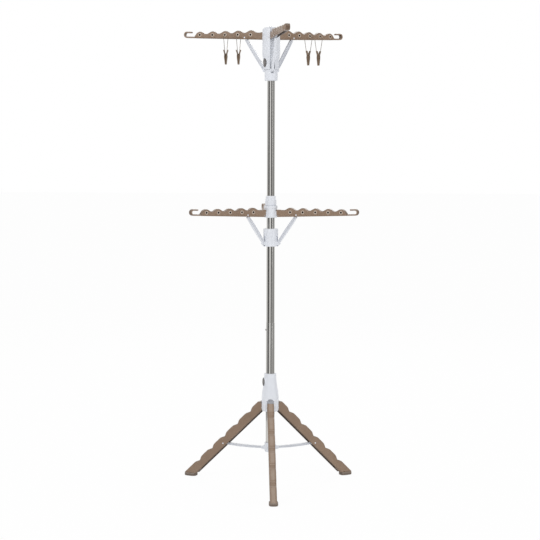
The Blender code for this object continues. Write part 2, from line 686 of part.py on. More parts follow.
def make_head(white, grey):
    """The slotted drum on the pole's top, the arms' hinge studs and the release button."""
    base = HEAD_Z
    top = base + HEAD_HEIGHT
    neck, shoulder = base + HEAD_NECK_HEIGHT, base + HEAD_SHOULDER_HEIGHT
    skirt = base + HEAD_SKIRT_HEIGHT
    profile = [(0, HEAD_CORE_Z), (HEAD_CORE_RADIUS, HEAD_CORE_Z), (HEAD_CORE_RADIUS, skirt)]
    profile += [(HEAD_SKIRT_RADIUS, skirt), (HEAD_SKIRT_RADIUS, base)]
    profile += [(HEAD_FOOT_RADIUS, base), (HEAD_FOOT_RADIUS, neck), (HEAD_RADIUS, shoulder)]
    crown = arc((0, 0), HEAD_RADIUS, 0, QUARTER_TURN, CROWN_STEPS)
    profile += [(x, top + HEAD_CROWN * z / HEAD_RADIUS) for x, z in crown[:-1]]
    profile.append((0, top + HEAD_CROWN))
    head = turned("head", profile, white)

    frame = about_pole(TOP_BUTTON_AZIMUTH, 0, TOP_BUTTON_Z)
    floor = TOP_BUTTON_FACE - TOP_BUTTON_THICKNESS - BUTTON_TRAVEL - GAP
    boss = oval_block(
        "boss", TOP_BUTTON_WIDTH + 2 * BOSS_WALL, TOP_BUTTON_HEIGHT + 2 * BOSS_WALL,
        floor - BOSS_WALL, HEAD_SKIRT_RADIUS + (HEAD_FOOT_RADIUS - HEAD_SKIRT_RADIUS) / 2,
    )
    join(head, placed(boss, frame))

    half = ARM_WIDTH / 2 + SLOT_SIDE_GAP
    for azimuth in ring_of(TOP_AZIMUTH).values():
        turn = Matrix.Rotation(azimuth, 4, "Z")
        low = (HEAD_CORE_RADIUS, -half, base - OVERRUN)
        high = (HEAD_RADIUS + OVERRUN, half, top + HEAD_CROWN + OVERRUN)
        cut(head, placed(block("slot", low, high), turn))
        stud = rod("stud", PIN_RADIUS, ARM_WIDTH + 2 * SLOT_SIDE_GAP + 2 * STUD_BITE)
        join(head, placed(shifted(stud, HEAD_PIVOT_RADIUS, HEAD_PIVOT_Z), turn))
    cut(head, cylinder("bore", UPPER_TUBE_RADIUS + GAP, base - OVERRUN, UPPER_TUBE_TOP_Z + GAP))

    button_face = TOP_BUTTON_FACE
    pocket = oval_block(
        "pocket", TOP_BUTTON_WIDTH + 2 * GAP, TOP_BUTTON_HEIGHT + 2 * GAP, floor, button_face + OVERRUN
    )
    cut(head, placed(pocket, frame))
    set_down(head)
    button = oval_block(
        "top_button", TOP_BUTTON_WIDTH, TOP_BUTTON_HEIGHT, button_face - TOP_BUTTON_THICKNESS,
        button_face, BUTTON_BEVEL, grey,
    )
    set_down(button, frame)


def make_base_hub(white, grey):
    """The tapered socket that the pole slides in, the legs' hinge studs and the release button."""
    base, top = BASE_HUB_Z, BASE_HUB_Z + BASE_HUB_HEIGHT
    skirt, waist = base + BASE_SKIRT_HEIGHT, base + BASE_WAIST_HEIGHT
    collar = top - BASE_COLLAR_HEIGHT
    bore = LOWER_TUBE_RADIUS + GAP
    profile = [(bore, base), (BASE_HUB_RADIUS - BASE_HUB_LIP, base), (BASE_HUB_RADIUS, base + EAR_RADIUS)]
    profile += [(BASE_HUB_RADIUS, skirt), (BASE_HIP_RADIUS, (skirt + waist) / 2)]
    profile += [(BASE_WAIST_RADIUS, waist), (BASE_COLLAR_RADIUS, collar)]
    profile += [(BASE_COLLAR_RADIUS, top - EDGE), (BASE_COLLAR_RADIUS - EDGE, top), (bore, top)]
    hub = turned("base_hub", profile, white)

    frame = about_pole(BASE_BUTTON_AZIMUTH, 0, BASE_BUTTON_Z)
    floor = BASE_BUTTON_FACE - BASE_BUTTON_THICKNESS - BUTTON_TRAVEL - GAP
    boss = oval_block(
        "boss", BASE_BUTTON_WIDTH + 2 * BOSS_WALL, BASE_BUTTON_HEIGHT + 2 * BOSS_WALL, floor - GAP,
        BASE_BOSS_FACE,
    )
    join(hub, placed(boss, frame))
    pocket = oval_block(
        "pocket", BASE_BUTTON_WIDTH + 2 * GAP, BASE_BUTTON_HEIGHT + 2 * GAP, floor,
        BASE_BUTTON_FACE + OVERRUN,
    )
    cut(hub, placed(pocket, frame))

    half = LEG_WIDTH / 2 + SLOT_SIDE_GAP
    for azimuth in ring_of(LEG_AZIMUTH).values():
        turn = Matrix.Rotation(azimuth, 4, "Z")
        door = arc((0, base + BASE_ARCH_HEIGHT), half, 0, math.pi, ARCH_STEPS)
        door += [(-half, base - OVERRUN), (half, base - OVERRUN)]
        depth = BASE_HUB_RADIUS + OVERRUN - BASE_SLOT_RADIUS
        slot = placed(prism("slot", door, depth), Matrix.Rotation(-QUARTER_TURN, 4, "Z"))
        placed(slot, Matrix.Translation((BASE_SLOT_RADIUS + depth / 2, 0, 0)))
        cut(hub, placed(slot, turn))
        stud = rod("stud", PIN_RADIUS, LEG_WIDTH + 2 * SLOT_SIDE_GAP + 2 * STUD_BITE)
        join(hub, placed(shifted(stud, BASE_PIVOT_RADIUS, BASE_PIVOT_Z), turn))
    set_down(hub)
    button = oval_block(
        "base_button", BASE_BUTTON_WIDTH, BASE_BUTTON_HEIGHT,
        BASE_BUTTON_FACE - BASE_BUTTON_THICKNESS, BASE_BUTTON_FACE, BUTTON_BEVEL, grey,
    )
    set_down(button, frame)


# Legs, feet and braces


def leg_edge(x):
    """Height of the leg's notched edge above its pivot: broad crests and narrow notches."""
    if x > LEG_FIRST_NOTCH + LEG_PITCH * (LEG_NOTCHES - 1 / 2):
        return LEG_CREST
    wave_share = 0.5 + 0.5 * math.cos(FULL_TURN * (x - LEG_FIRST_NOTCH) / LEG_PITCH)
    return LEG_CREST - LEG_NOTCH * wave_share**LEG_NOTCH_POWER


def leg_end(rise):
    """How far along the leg its end lies, at a height above the pivot line, to sit on the pad."""
    return (LEG_DROP + rise * math.cos(LEG_SLOPE)) / math.sin(LEG_SLOPE)


def make_leg(material):
    """The leg's channel in its own frame: origin on the pivot, X down along the leg."""
    low = -LEG_PIVOT_RISE
    end = leg_end(LEG_CREST)
    start = low + LEG_CORNER
    count = LEG_NOTCHES * LEG_STEPS
    edge = [end + (start - end) * i / count for i in range(count + 1)]

    outline = arc((0, 0), LEG_PIVOT_RISE, 2 * QUARTER_TURN, 3 * QUARTER_TURN)
    outline.append((leg_end(low), low))
    outline += [(x, leg_edge(x)) for x in edge]
    outline += arc((start, leg_edge(start) - LEG_CORNER), LEG_CORNER, QUARTER_TURN, 2 * QUARTER_TURN)[1:]
    leg = prism("leg", outline, LEG_WIDTH, material)

    below = low - OVERRUN
    beyond = end + OVERRUN
    cavity = [(below, below), (beyond, below), (beyond, leg_edge(end) - LEG_WEB)]
    cavity += [(x, leg_edge(x) - LEG_WEB) for x in edge]
    cavity.append((below, leg_edge(start) - LEG_WEB))
    cut(leg, prism("cavity", cavity, LEG_INNER_WIDTH))
    across = LEG_WIDTH + 2 * OVERRUN
    cut(leg, rod("eye", PIN_RADIUS + GAP, across))
    return cut(leg, shifted(rod("hole", STUD_RADIUS + GAP, across), LEG_STUD_REACH, LEG_STUD_RISE))


def make_foot(material):
    """The pad under a leg and the plug inside its channel, about the leg's pivot."""
    low_x, high_x = FOOT_REACH - FOOT_LENGTH, FOOT_REACH
    half = FOOT_WIDTH / 2
    corner = FOOT_CORNER
    outline = arc((high_x - corner, half - corner), corner, 0, QUARTER_TURN)
    outline += arc((low_x + corner, half - corner), corner, QUARTER_TURN, 2 * QUARTER_TURN)
    outline += arc((low_x + corner, corner - half), corner, 2 * QUARTER_TURN, 3 * QUARTER_TURN)
    outline += arc((high_x - corner, corner - half), corner, 3 * QUARTER_TURN, 4 * QUARTER_TURN)
    shape = bmesh.new()
    rim = drawn_out(shape, [(x, y, 0) for x, y in outline], (0, 0, FOOT_HEIGHT))
    edges = [edge for edge in shape.edges if all(point in rim for point in edge.verts)]
    soften(shape, edges, FOOT_BEVEL)
    foot = add_object("foot", shape, material)

    low = LEG_WALL - LEG_PIVOT_RISE
    high = low + PLUG_HEIGHT
    near = leg_end(low) - PLUG_LENGTH
    outline = [(near, low), (leg_end(low) + OVERRUN, low), (leg_end(high) + OVERRUN, high), (near, high)]
    plug = prism("plug", outline, LEG_INNER_WIDTH - 2 * GAP)
    leg_frame = about_pole(0, BASE_PIVOT_RADIUS, BASE_PIVOT_Z, LEG_SLOPE)
    join(foot, placed(plug, leg_frame))
    return placed(foot, leg_frame.inverted())


def make_legs(tan, white, rubber):
    """Legs, feet, braces and the studs that the braces turn on."""
    azimuths = ring_of(LEG_AZIMUTH)

    def on_leg(azimuth):
        return about_pole(azimuth, BASE_PIVOT_RADIUS, BASE_PIVOT_Z, LEG_SLOPE)

    set_round(make_leg(tan), "leg", azimuths, on_leg)
    set_round(make_foot(rubber), "foot", azimuths, on_leg)

    stud_at = about_pole(0, BASE_PIVOT_RADIUS, BASE_PIVOT_Z, LEG_SLOPE)
    stud_at = stud_at @ Vector((LEG_STUD_REACH, 0, LEG_STUD_RISE))
    run = stud_at.x - SPREADER_PIVOT_RADIUS
    drop = SPREADER_PIVOT_Z - stud_at.z
    brace = make_link(
        "brace", math.hypot(run, drop), BRACE_END_RADIUS, BRACE_HALF_HEIGHT, BRACE_SAG, white
    )
    pitch = math.atan2(drop, run)
    set_round(
        brace, "brace", azimuths,
        lambda azimuth: about_pole(azimuth, SPREADER_PIVOT_RADIUS, SPREADER_PIVOT_Z, pitch),
    )

    inner, outer = LINK_WIDTH / 2 + GAP, LEG_WIDTH / 2 + STUD_STAND
    for side, sign in (("near", 1), ("far", -1)):
        stud = rod("stud", STUD_RADIUS, outer - inner, white)
        placed(stud, Matrix.Translation((LEG_STUD_REACH, sign * (inner + outer) / 2, LEG_STUD_RISE)))
        set_round(stud, f"{side}_brace_stud", azimuths, on_leg)


# Pole


def make_tubes(steel, grey):
    """The three tubes and the snap button that joins the lower two."""
    spans = {
        "lower_tube": (LOWER_TUBE_RADIUS, SPREADER_BASE_Z + SPREADER_FLOOR + GAP, LOWER_TUBE_TOP_Z),
        "middle_tube": (MIDDLE_TUBE_RADIUS, LOWER_TUBE_TOP_Z - MIDDLE_TUBE_LAP, MIDDLE_TUBE_TOP_Z),
        "upper_tube": (UPPER_TUBE_RADIUS, MIDDLE_TUBE_TOP_Z - UPPER_TUBE_LAP, UPPER_TUBE_TOP_Z),
    }
    for name, (radius, low, high) in spans.items():
        inner = radius - TUBE_WALL
        tube = turned(name, [(inner, low), (radius, low), (radius, high), (inner, high)], steel)
        if name != "upper_tube":
            hole = cylinder("hole", SNAP_RADIUS + GAP, 0, LOWER_TUBE_RADIUS + OVERRUN, None, PIN_STEPS)
            cut(tube, placed(hole, radial(SNAP_AZIMUTH, SNAP_Z)))
        set_down(tube)

    inside = MIDDLE_TUBE_RADIUS - TUBE_WALL - GAP
    seat = math.sqrt(inside**2 - SNAP_FLANGE_RADIUS**2)
    face = LOWER_TUBE_RADIUS + SNAP_STAND
    profile = [(0, seat - SNAP_FLANGE), (SNAP_FLANGE_RADIUS, seat - SNAP_FLANGE)]
    profile += [(SNAP_FLANGE_RADIUS, seat), (SNAP_RADIUS, seat), (SNAP_RADIUS, face - EDGE)]
    profile += [(SNAP_RADIUS - EDGE, face), (0, face)]
    snap = turned("snap_button", profile, grey, 2 * PIN_STEPS)
    placed(snap, Matrix.Rotation(QUARTER_TURN, 4, "Y"))
    set_down(snap, about_pole(SNAP_AZIMUTH, 0, SNAP_Z))


# Clips


def make_bail(material):
    """A loop of wire about its top bar, with its foot as the clip's hinge pin."""
    top, foot, drop = BAIL_TOP_HALF, BAIL_FOOT_HALF, BAIL_DROP
    slope = math.atan2(drop - BAIL_SHOULDER, top - foot)
    corners = arc((top - BAIL_BEND, -BAIL_BEND), BAIL_BEND, QUARTER_TURN, 0)
    corners.append((top, -BAIL_SHOULDER))
    knee = (foot - BAIL_BEND / 2, BAIL_BEND - drop)
    corners += arc(knee, BAIL_BEND, QUARTER_TURN - slope, -QUARTER_TURN)
    half = [Vector((0, y, z)) for y, z in corners]
    path = half + [Vector((0, -point.y, point.z)) for point in reversed(half)]
    shape = bmesh.new()
    rings = []
    for i, point in enumerate(path):
        ahead = (path[(i + 1) % len(path)] - point).normalized()
        behind = (point - path[i - 1]).normalized()
        along = (ahead + behind).normalized()
        across = Vector((1, 0, 0))
        out = along.cross(across)
        stretch = 1 / max(along.dot(ahead), 0.5)
        ring = []
        for k in range(WIRE_STEPS):
            angle = FULL_TURN * k / WIRE_STEPS
            offset = across * math.cos(angle) + out * stretch * math.sin(angle)
            ring.append(shape.verts.new(point + offset * WIRE_RADIUS))
        rings.append(ring)
    for i, ring in enumerate(rings):
        following = rings[(i + 1) % len(rings)]
        for k in range(WIRE_STEPS):
            beside = (k + 1) % WIRE_STEPS
            shape.faces.new((ring[k], ring[beside], following[beside], following[k]))
    return add_object("bail", shape, material)


def make_jaw(material):
    """One jaw about the hinge pin, on the +X side: finger pad above, gripping lip below."""
    half = WIRE_RADIUS + GAP
    thick = JAW_THICKNESS
    outline = arc((0, 0), half, QUARTER_TURN, -QUARTER_TURN, ARC_STEPS)
    outline[0] = (GAP / 2, half)
    outline[-1] = (GAP / 2, -half)
    outline += [(JAW_BELLY, -JAW_WAIST_DROP), (GAP / 2, -JAW_LIP_DROP), (GAP / 2, -JAW_DROP)]
    outline += [(thick, -JAW_DROP), (JAW_BELLY + thick, -JAW_WAIST_DROP)]
    outline += [(half + thick, 0), (JAW_SPREAD, JAW_FINGER_HEIGHT)]
    outline += [(JAW_SPREAD - thick / 2, JAW_FINGER_HEIGHT), (GAP / 2 + half, thick)]
    return prism("jaw", outline, JAW_WIDTH, material)


def make_clips(wire, tan):
    """The clips that hang from the upper arms' holes, each hanging straight down."""
    azimuths = ring_of(TOP_AZIMUTH)
    bail, jaw = make_bail(wire), make_jaw(tan)
    for number, (side, place) in enumerate(CLIP_PLACES, 1):
        x, z = hole_place(place)
        rest = z - ARM_HOLE_RADIUS + WIRE_RADIUS + GAP
        hook = about_pole(azimuths[side], HEAD_PIVOT_RADIUS, HEAD_PIVOT_Z, -ARM_TILT)
        frame = hook @ Matrix.Translation((x, 0, rest)) @ Matrix.Rotation(ARM_TILT, 4, "Y")
        hinge = frame @ Matrix.Translation((0, 0, -BAIL_DROP))
        set_down(copy_of(bail, f"clip_{number}_bail"), frame)
        set_down(copy_of(jaw, f"clip_{number}_inner_jaw"), hinge @ Matrix.Rotation(math.pi, 4, "Z"))
        set_down(copy_of(jaw, f"clip_{number}_outer_jaw"), hinge)
    bpy.data.objects.remove(bail)
    bpy.data.objects.remove(jaw)


def main():
    for old in list(bpy.data.objects):
        bpy.data.objects.remove(old)
    white = plastic("white_plastic", WHITE_PLASTIC)
    tan = plastic("tan_plastic", TAN_PLASTIC)
    grey = plastic("grey_plastic", GREY_PLASTIC, 0.5)
    rubber = plastic("pad_rubber", PAD_RUBBER, 0.7)
    steel = plastic("pole_steel", POLE_STEEL, 0.2, 1.0)

    make_tubes(steel, grey)
    make_base_hub(white, grey)
    make_spreader(white)
    make_legs(tan, white, rubber)
    make_mid_hub(white)
    make_mid_collar(white)
    make_mid_runner(white)
    make_head(white, grey)
    make_top_runner(white)
    arm = make_arm(tan)
    make_tier(
        "mid", ring_of(MID_AZIMUTH, MID_TURNS), MID_PIVOT_RADIUS, MID_PIVOT_Z, MID_RUNNER_PIVOT_RADIUS,
        MID_RUNNER_PIVOT_Z, copy_of(arm, "arm"), white,
    )
    make_tier(
        "top", ring_of(TOP_AZIMUTH), HEAD_PIVOT_RADIUS, HEAD_PIVOT_Z, TOP_RUNNER_PIVOT_RADIUS,
        TOP_RUNNER_PIVOT_Z, arm, white,
    )
    make_clips(steel, tan)


main()
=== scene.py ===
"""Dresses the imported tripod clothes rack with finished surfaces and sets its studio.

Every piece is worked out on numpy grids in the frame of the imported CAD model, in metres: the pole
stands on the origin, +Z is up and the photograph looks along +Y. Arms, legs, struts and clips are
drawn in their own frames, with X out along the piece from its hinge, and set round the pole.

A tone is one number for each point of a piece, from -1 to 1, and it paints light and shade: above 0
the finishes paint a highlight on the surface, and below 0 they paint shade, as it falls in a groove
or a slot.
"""

import json
import logging
import math
from dataclasses import dataclass, field
from enum import Enum
from functools import reduce

import bmesh
import bpy
import numpy as np
from mathutils import Matrix, Vector

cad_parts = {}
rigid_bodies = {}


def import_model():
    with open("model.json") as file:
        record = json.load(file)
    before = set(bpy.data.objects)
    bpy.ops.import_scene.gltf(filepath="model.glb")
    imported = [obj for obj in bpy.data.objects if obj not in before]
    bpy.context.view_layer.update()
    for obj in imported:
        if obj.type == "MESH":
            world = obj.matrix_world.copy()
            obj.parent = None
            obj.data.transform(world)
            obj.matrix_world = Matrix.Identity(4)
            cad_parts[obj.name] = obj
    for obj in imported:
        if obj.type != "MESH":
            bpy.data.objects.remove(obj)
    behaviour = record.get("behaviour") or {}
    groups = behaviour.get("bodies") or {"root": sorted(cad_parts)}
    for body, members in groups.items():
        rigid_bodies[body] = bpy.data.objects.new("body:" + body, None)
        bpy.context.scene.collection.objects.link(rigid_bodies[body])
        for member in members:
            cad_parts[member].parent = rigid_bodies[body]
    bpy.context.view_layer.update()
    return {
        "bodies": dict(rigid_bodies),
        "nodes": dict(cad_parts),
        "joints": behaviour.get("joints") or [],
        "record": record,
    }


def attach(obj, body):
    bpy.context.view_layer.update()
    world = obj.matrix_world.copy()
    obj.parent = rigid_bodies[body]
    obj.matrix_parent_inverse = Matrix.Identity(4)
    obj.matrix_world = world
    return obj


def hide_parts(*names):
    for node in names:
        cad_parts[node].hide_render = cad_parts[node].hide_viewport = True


LOG = logging.getLogger("rack")
Array = np.ndarray
MM = 0.001
FULL_TURN = 2 * math.pi
QUARTER_TURN = math.pi / 2
OUTWARD = np.array([1.0, 0.0, 0.0])
SIDEWAYS = np.array([0.0, 1.0, 0.0])

# Legs and arms stand in rings of three. Azimuths are in degrees, and each is the ring's first.
RING_STEP = 120
LEG_AZIMUTH = -87.9
TOP_AZIMUTH = -80.5
MID_AZIMUTH = 94.5

# How a mesh is cleaned and smoothed
MERGE_WITHIN = 1e-6
FLAT_WITHIN = math.radians(1)
SHARP_FROM = math.radians(38)
BEVEL_FROM = math.radians(30)
BEVEL_STEPS = 2


# Surfaces


@dataclass
class Shell:
    """Points and faces of one or more surfaces, with a tone for each point."""

    points: Array
    quads: Array
    caps: list[list[int]] = field(default_factory=list)
    tone: Array | None = None

    def __post_init__(self) -> None:
        """Gives every point a tone of 0 where none is stated."""
        if self.tone is None:
            self.tone = np.zeros(len(self.points))

    def __add__(self, other: "Shell") -> "Shell":
        """Both surfaces as one.

        Args:
            other: The surface that is added.

        Returns:
            One surface with the faces of both.
        """
        shift = len(self.points)
        return Shell(
            np.vstack([self.points, other.points]),
            np.vstack([self.quads, other.quads + shift]),
            self.caps + [[i + shift for i in cap] for cap in other.caps],
            np.concatenate([self.tone, other.tone]),
        )

    def placed(self, frame: Matrix) -> "Shell":
        """The surface turned and moved: every point is the frame's turn of it plus its shift.

        Args:
            frame: Where the surface's own axes go.

        Returns:
            The surface in its new place.
        """
        turn = np.array(frame)
        points = self.points @ turn[:3, :3].T + turn[:3, 3]
        return Shell(points, self.quads, self.caps, self.tone)

    def mirrored(self) -> "Shell":
        """The surface's other hand, across the XZ plane."""
        return Shell(self.points * (1, -1, 1), self.quads[:, ::-1], self.caps, self.tone)

    def moved(self, x: float = 0, y: float = 0, z: float = 0) -> "Shell":
        """The surface shifted."""
        return Shell(self.points + (x, y, z), self.quads, self.caps, self.tone)


def together(shells: list[Shell]) -> Shell:
    """All the surfaces as one."""
    return reduce(lambda one, other: one + other, shells)


def grid(points: Array, round_rows: bool = False, round_columns: bool = False,
         tone: Array | None = None) -> Shell:
    """A sheet of four-sided faces over a grid of points.

    Args:
        points: Rows by columns by 3.
        round_rows: Joins the last row to the first.
        round_columns: Joins the last column to the first.
        tone: Rows by columns, where some points are light or dark.

    Returns:
        The sheet.
    """
    rows, columns = points.shape[:2]
    index = np.arange(rows * columns).reshape(rows, columns)
    if round_rows:
        index = np.vstack([index, index[:1]])
    if round_columns:
        index = np.hstack([index, index[:, :1]])
    corners = [index[:-1, :-1], index[:-1, 1:], index[1:, 1:], index[1:, :-1]]
    quads = np.stack(corners, axis=-1).reshape(-1, 4)
    return Shell(points.reshape(-1, 3), quads, [], None if tone is None else tone.reshape(-1))


def loft(rings: Array, tone: Array | None = None) -> Shell:
    """A closed body through rings of points, flat at both ends.

    Args:
        rings: Rings by corners by 3.
        tone: Rings by corners.

    Returns:
        The body.
    """
    body = grid(rings, round_columns=True, tone=tone)
    count, last = rings.shape[1], rings.shape[0] - 1
    body.caps = [list(range(count)), list(range(last * count, (last + 1) * count))]
    return body


def lathe(profile: Array, steps: int = 48, ring: bool = False, tone: Array | None = None) -> Shell:
    """A surface turned about Z: every (radius, height) of the profile goes round the axis.

    Args:
        profile: Radius and height of each point, from axis to axis, or a closed loop.
        steps: Sides of the turned surface.
        ring: The profile is a closed loop.
        tone: One tone for each point of the profile.

    Returns:
        The closed surface.
    """
    angle = np.linspace(0, FULL_TURN, steps, endpoint=False)[:, None]
    radius, height = np.asarray(profile).T
    points = np.stack(
        [np.cos(angle) * radius, np.sin(angle) * radius, np.ones_like(angle) * height], axis=-1
    )
    tones = None if tone is None else np.ones_like(angle) * tone
    return grid(points, round_rows=True, round_columns=ring, tone=tones)


def rounded(width: float, height: float, power: float = 5.0, steps: int = 24) -> Array:
    """A section between an ellipse and a rectangle: |x|^p + |y|^p = 1, scaled.

    Args:
        width: Its whole width.
        height: Its whole height.
        power: 2 is an ellipse, and the higher it is, the squarer the section.
        steps: Corners of the section, none of which lies on an axis.

    Returns:
        Corners by 2.
    """
    angle = np.linspace(0, FULL_TURN, steps, endpoint=False) + FULL_TURN / steps / 2
    cos, sin = np.cos(angle), np.sin(angle)
    reach = (np.abs(cos) ** power + np.abs(sin) ** power) ** (-1 / power)
    return np.stack([cos * reach * width / 2, sin * reach * height / 2], axis=-1)


def sweep(path: Array, across: Array, sections: Array, closed: bool = False,
          tone: Array | None = None) -> Shell:
    """A section carried along a flat path: one axis of it is `across`, the other square to both.

    Args:
        path: Points by 3.
        across: The direction square to the plane of the path.
        sections: Corners by 2, or points by corners by 2 where the section changes on its way.
        closed: The path joins up with itself.
        tone: Points by corners.

    Returns:
        A ring, or a body with flat ends.
    """
    if closed:
        along = np.roll(path, -1, axis=0) - np.roll(path, 1, axis=0)
    else:
        along = np.gradient(path, axis=0)
    along /= np.linalg.norm(along, axis=1, keepdims=True)
    out = np.cross(along, across)
    sections = np.broadcast_to(sections, (len(path), *np.asarray(sections).shape[-2:]))
    rings = path[:, None] + sections[..., :1] * across + sections[..., 1:] * out[:, None]
    if closed:
        return grid(rings, round_rows=True, round_columns=True, tone=tone)
    return loft(rings, tone)


def plate(x: float, half: float, outline: Array) -> Shell:
    """A flat plate square to X: the same outline at both of its faces.

    Args:
        x: Where its middle lies.
        half: Half of its thickness.
        outline: Corners by 2, as (y, z).

    Returns:
        The plate.
    """
    return loft(np.stack([
        np.column_stack([np.full(len(outline), face), outline]) for face in (x - half, x + half)
    ]))


def arc(centre: tuple[float, float], radius: float, start: float, end: float,
        steps: int = 8) -> Array:
    """Points on an arc, both ends included: the centre plus the radius times (cos, sin).

    Args:
        centre: Its two coordinates.
        radius: How far the points lie from it.
        start: The first point's angle, in radians.
        end: The last point's angle, in radians.
        steps: Runs between the points.

    Returns:
        Points by 2.
    """
    angle = np.linspace(start, end, steps + 1)
    across, up = radius * np.cos(angle), radius * np.sin(angle)
    return np.stack([centre[0] + across, centre[1] + up], axis=-1)


def evened(line: Array, count: int) -> Array:
    """A polyline with its points set at equal lengths along it.

    Args:
        line: Points by any number of values.
        count: How many points to set.

    Returns:
        The new points, each on a straight run between two of the old ones.
    """
    runs = np.concatenate([[0], np.cumsum(np.linalg.norm(np.diff(line, axis=0), axis=1))])
    places = np.linspace(0, runs[-1], count)
    return np.stack([np.interp(places, runs, line[:, k]) for k in range(line.shape[1])], axis=-1)


def upright(line: Array) -> Array:
    """A flat (x, z) line as points in the XZ plane."""
    return np.stack([line[:, 0], np.zeros(len(line)), line[:, 1]], axis=-1)


def about_pole(azimuth: float, radius: float = 0, height: float = 0, pitch: float = 0) -> Matrix:
    """The frame of a piece on the pole: X out along the azimuth, pitched down, all in radians."""
    turn = Matrix.Rotation(azimuth, 4, "Z") @ Matrix.Translation((radius, 0, height))
    return turn @ Matrix.Rotation(pitch, 4, "Y")


def facing_out(azimuth: float, radius: float, height: float) -> Matrix:
    """The frame of a small turned piece on the pole's mouldings: its own Z points out."""
    return about_pole(azimuth, radius, height) @ Matrix.Rotation(QUARTER_TURN, 4, "Y")


def cross_disc(radius: float, half: float, dome: float, steps: int = 20) -> Shell:
    """A pin along Y with a low dome at each end: radius falls off with the root of the height.

    Args:
        radius: The pin's.
        half: Half of its length without the domes.
        dome: Height of each dome.
        steps: Sides of the pin.

    Returns:
        The pin, its middle on the origin.
    """
    share = np.sin(np.linspace(0, QUARTER_TURN, 5))
    fall = np.sqrt(1 - share**2)
    end = np.stack([radius * fall, half + dome * share], axis=-1)
    profile = np.vstack([end[::-1] * (1, -1), end])
    return lathe(profile, steps).placed(Matrix.Rotation(QUARTER_TURN, 4, "X"))


# Blender's data


def mesh_of(name: str, shell: Shell) -> bpy.types.Mesh:
    """A mesh of a surface's points and faces.

    Args:
        name: The mesh's name.
        shell: The surface.

    Returns:
        The mesh, with no material yet.
    """
    mesh = bpy.data.meshes.new(name)
    mesh.from_pydata(shell.points.tolist(), [], shell.quads.tolist() + shell.caps)
    return mesh


def in_scene(name: str, data: bpy.types.ID) -> bpy.types.Object:
    """A new object at the scene's origin.

    Args:
        name: The object's name.
        data: The mesh, lamp or camera that it holds.

    Returns:
        The object.
    """
    made = bpy.data.objects.new(name, data)
    bpy.context.scene.collection.objects.link(made)
    return made


# Finishes


def linear(colour: tuple[int, int, int]) -> tuple[float, float, float, float]:
    """A screen colour as a shader's: the sRGB curve, straight below 0.04045 and a power above.

    Args:
        colour: Red, green and blue of 0 to 255.

    Returns:
        Linear red, green, blue and an alpha of 1.
    """
    share = np.asarray(colour) / 255
    low, high = share / 12.92, ((share + 0.055) / 1.055) ** 2.4
    return (*np.where(share <= 0.04045, low, high).tolist(), 1.0)


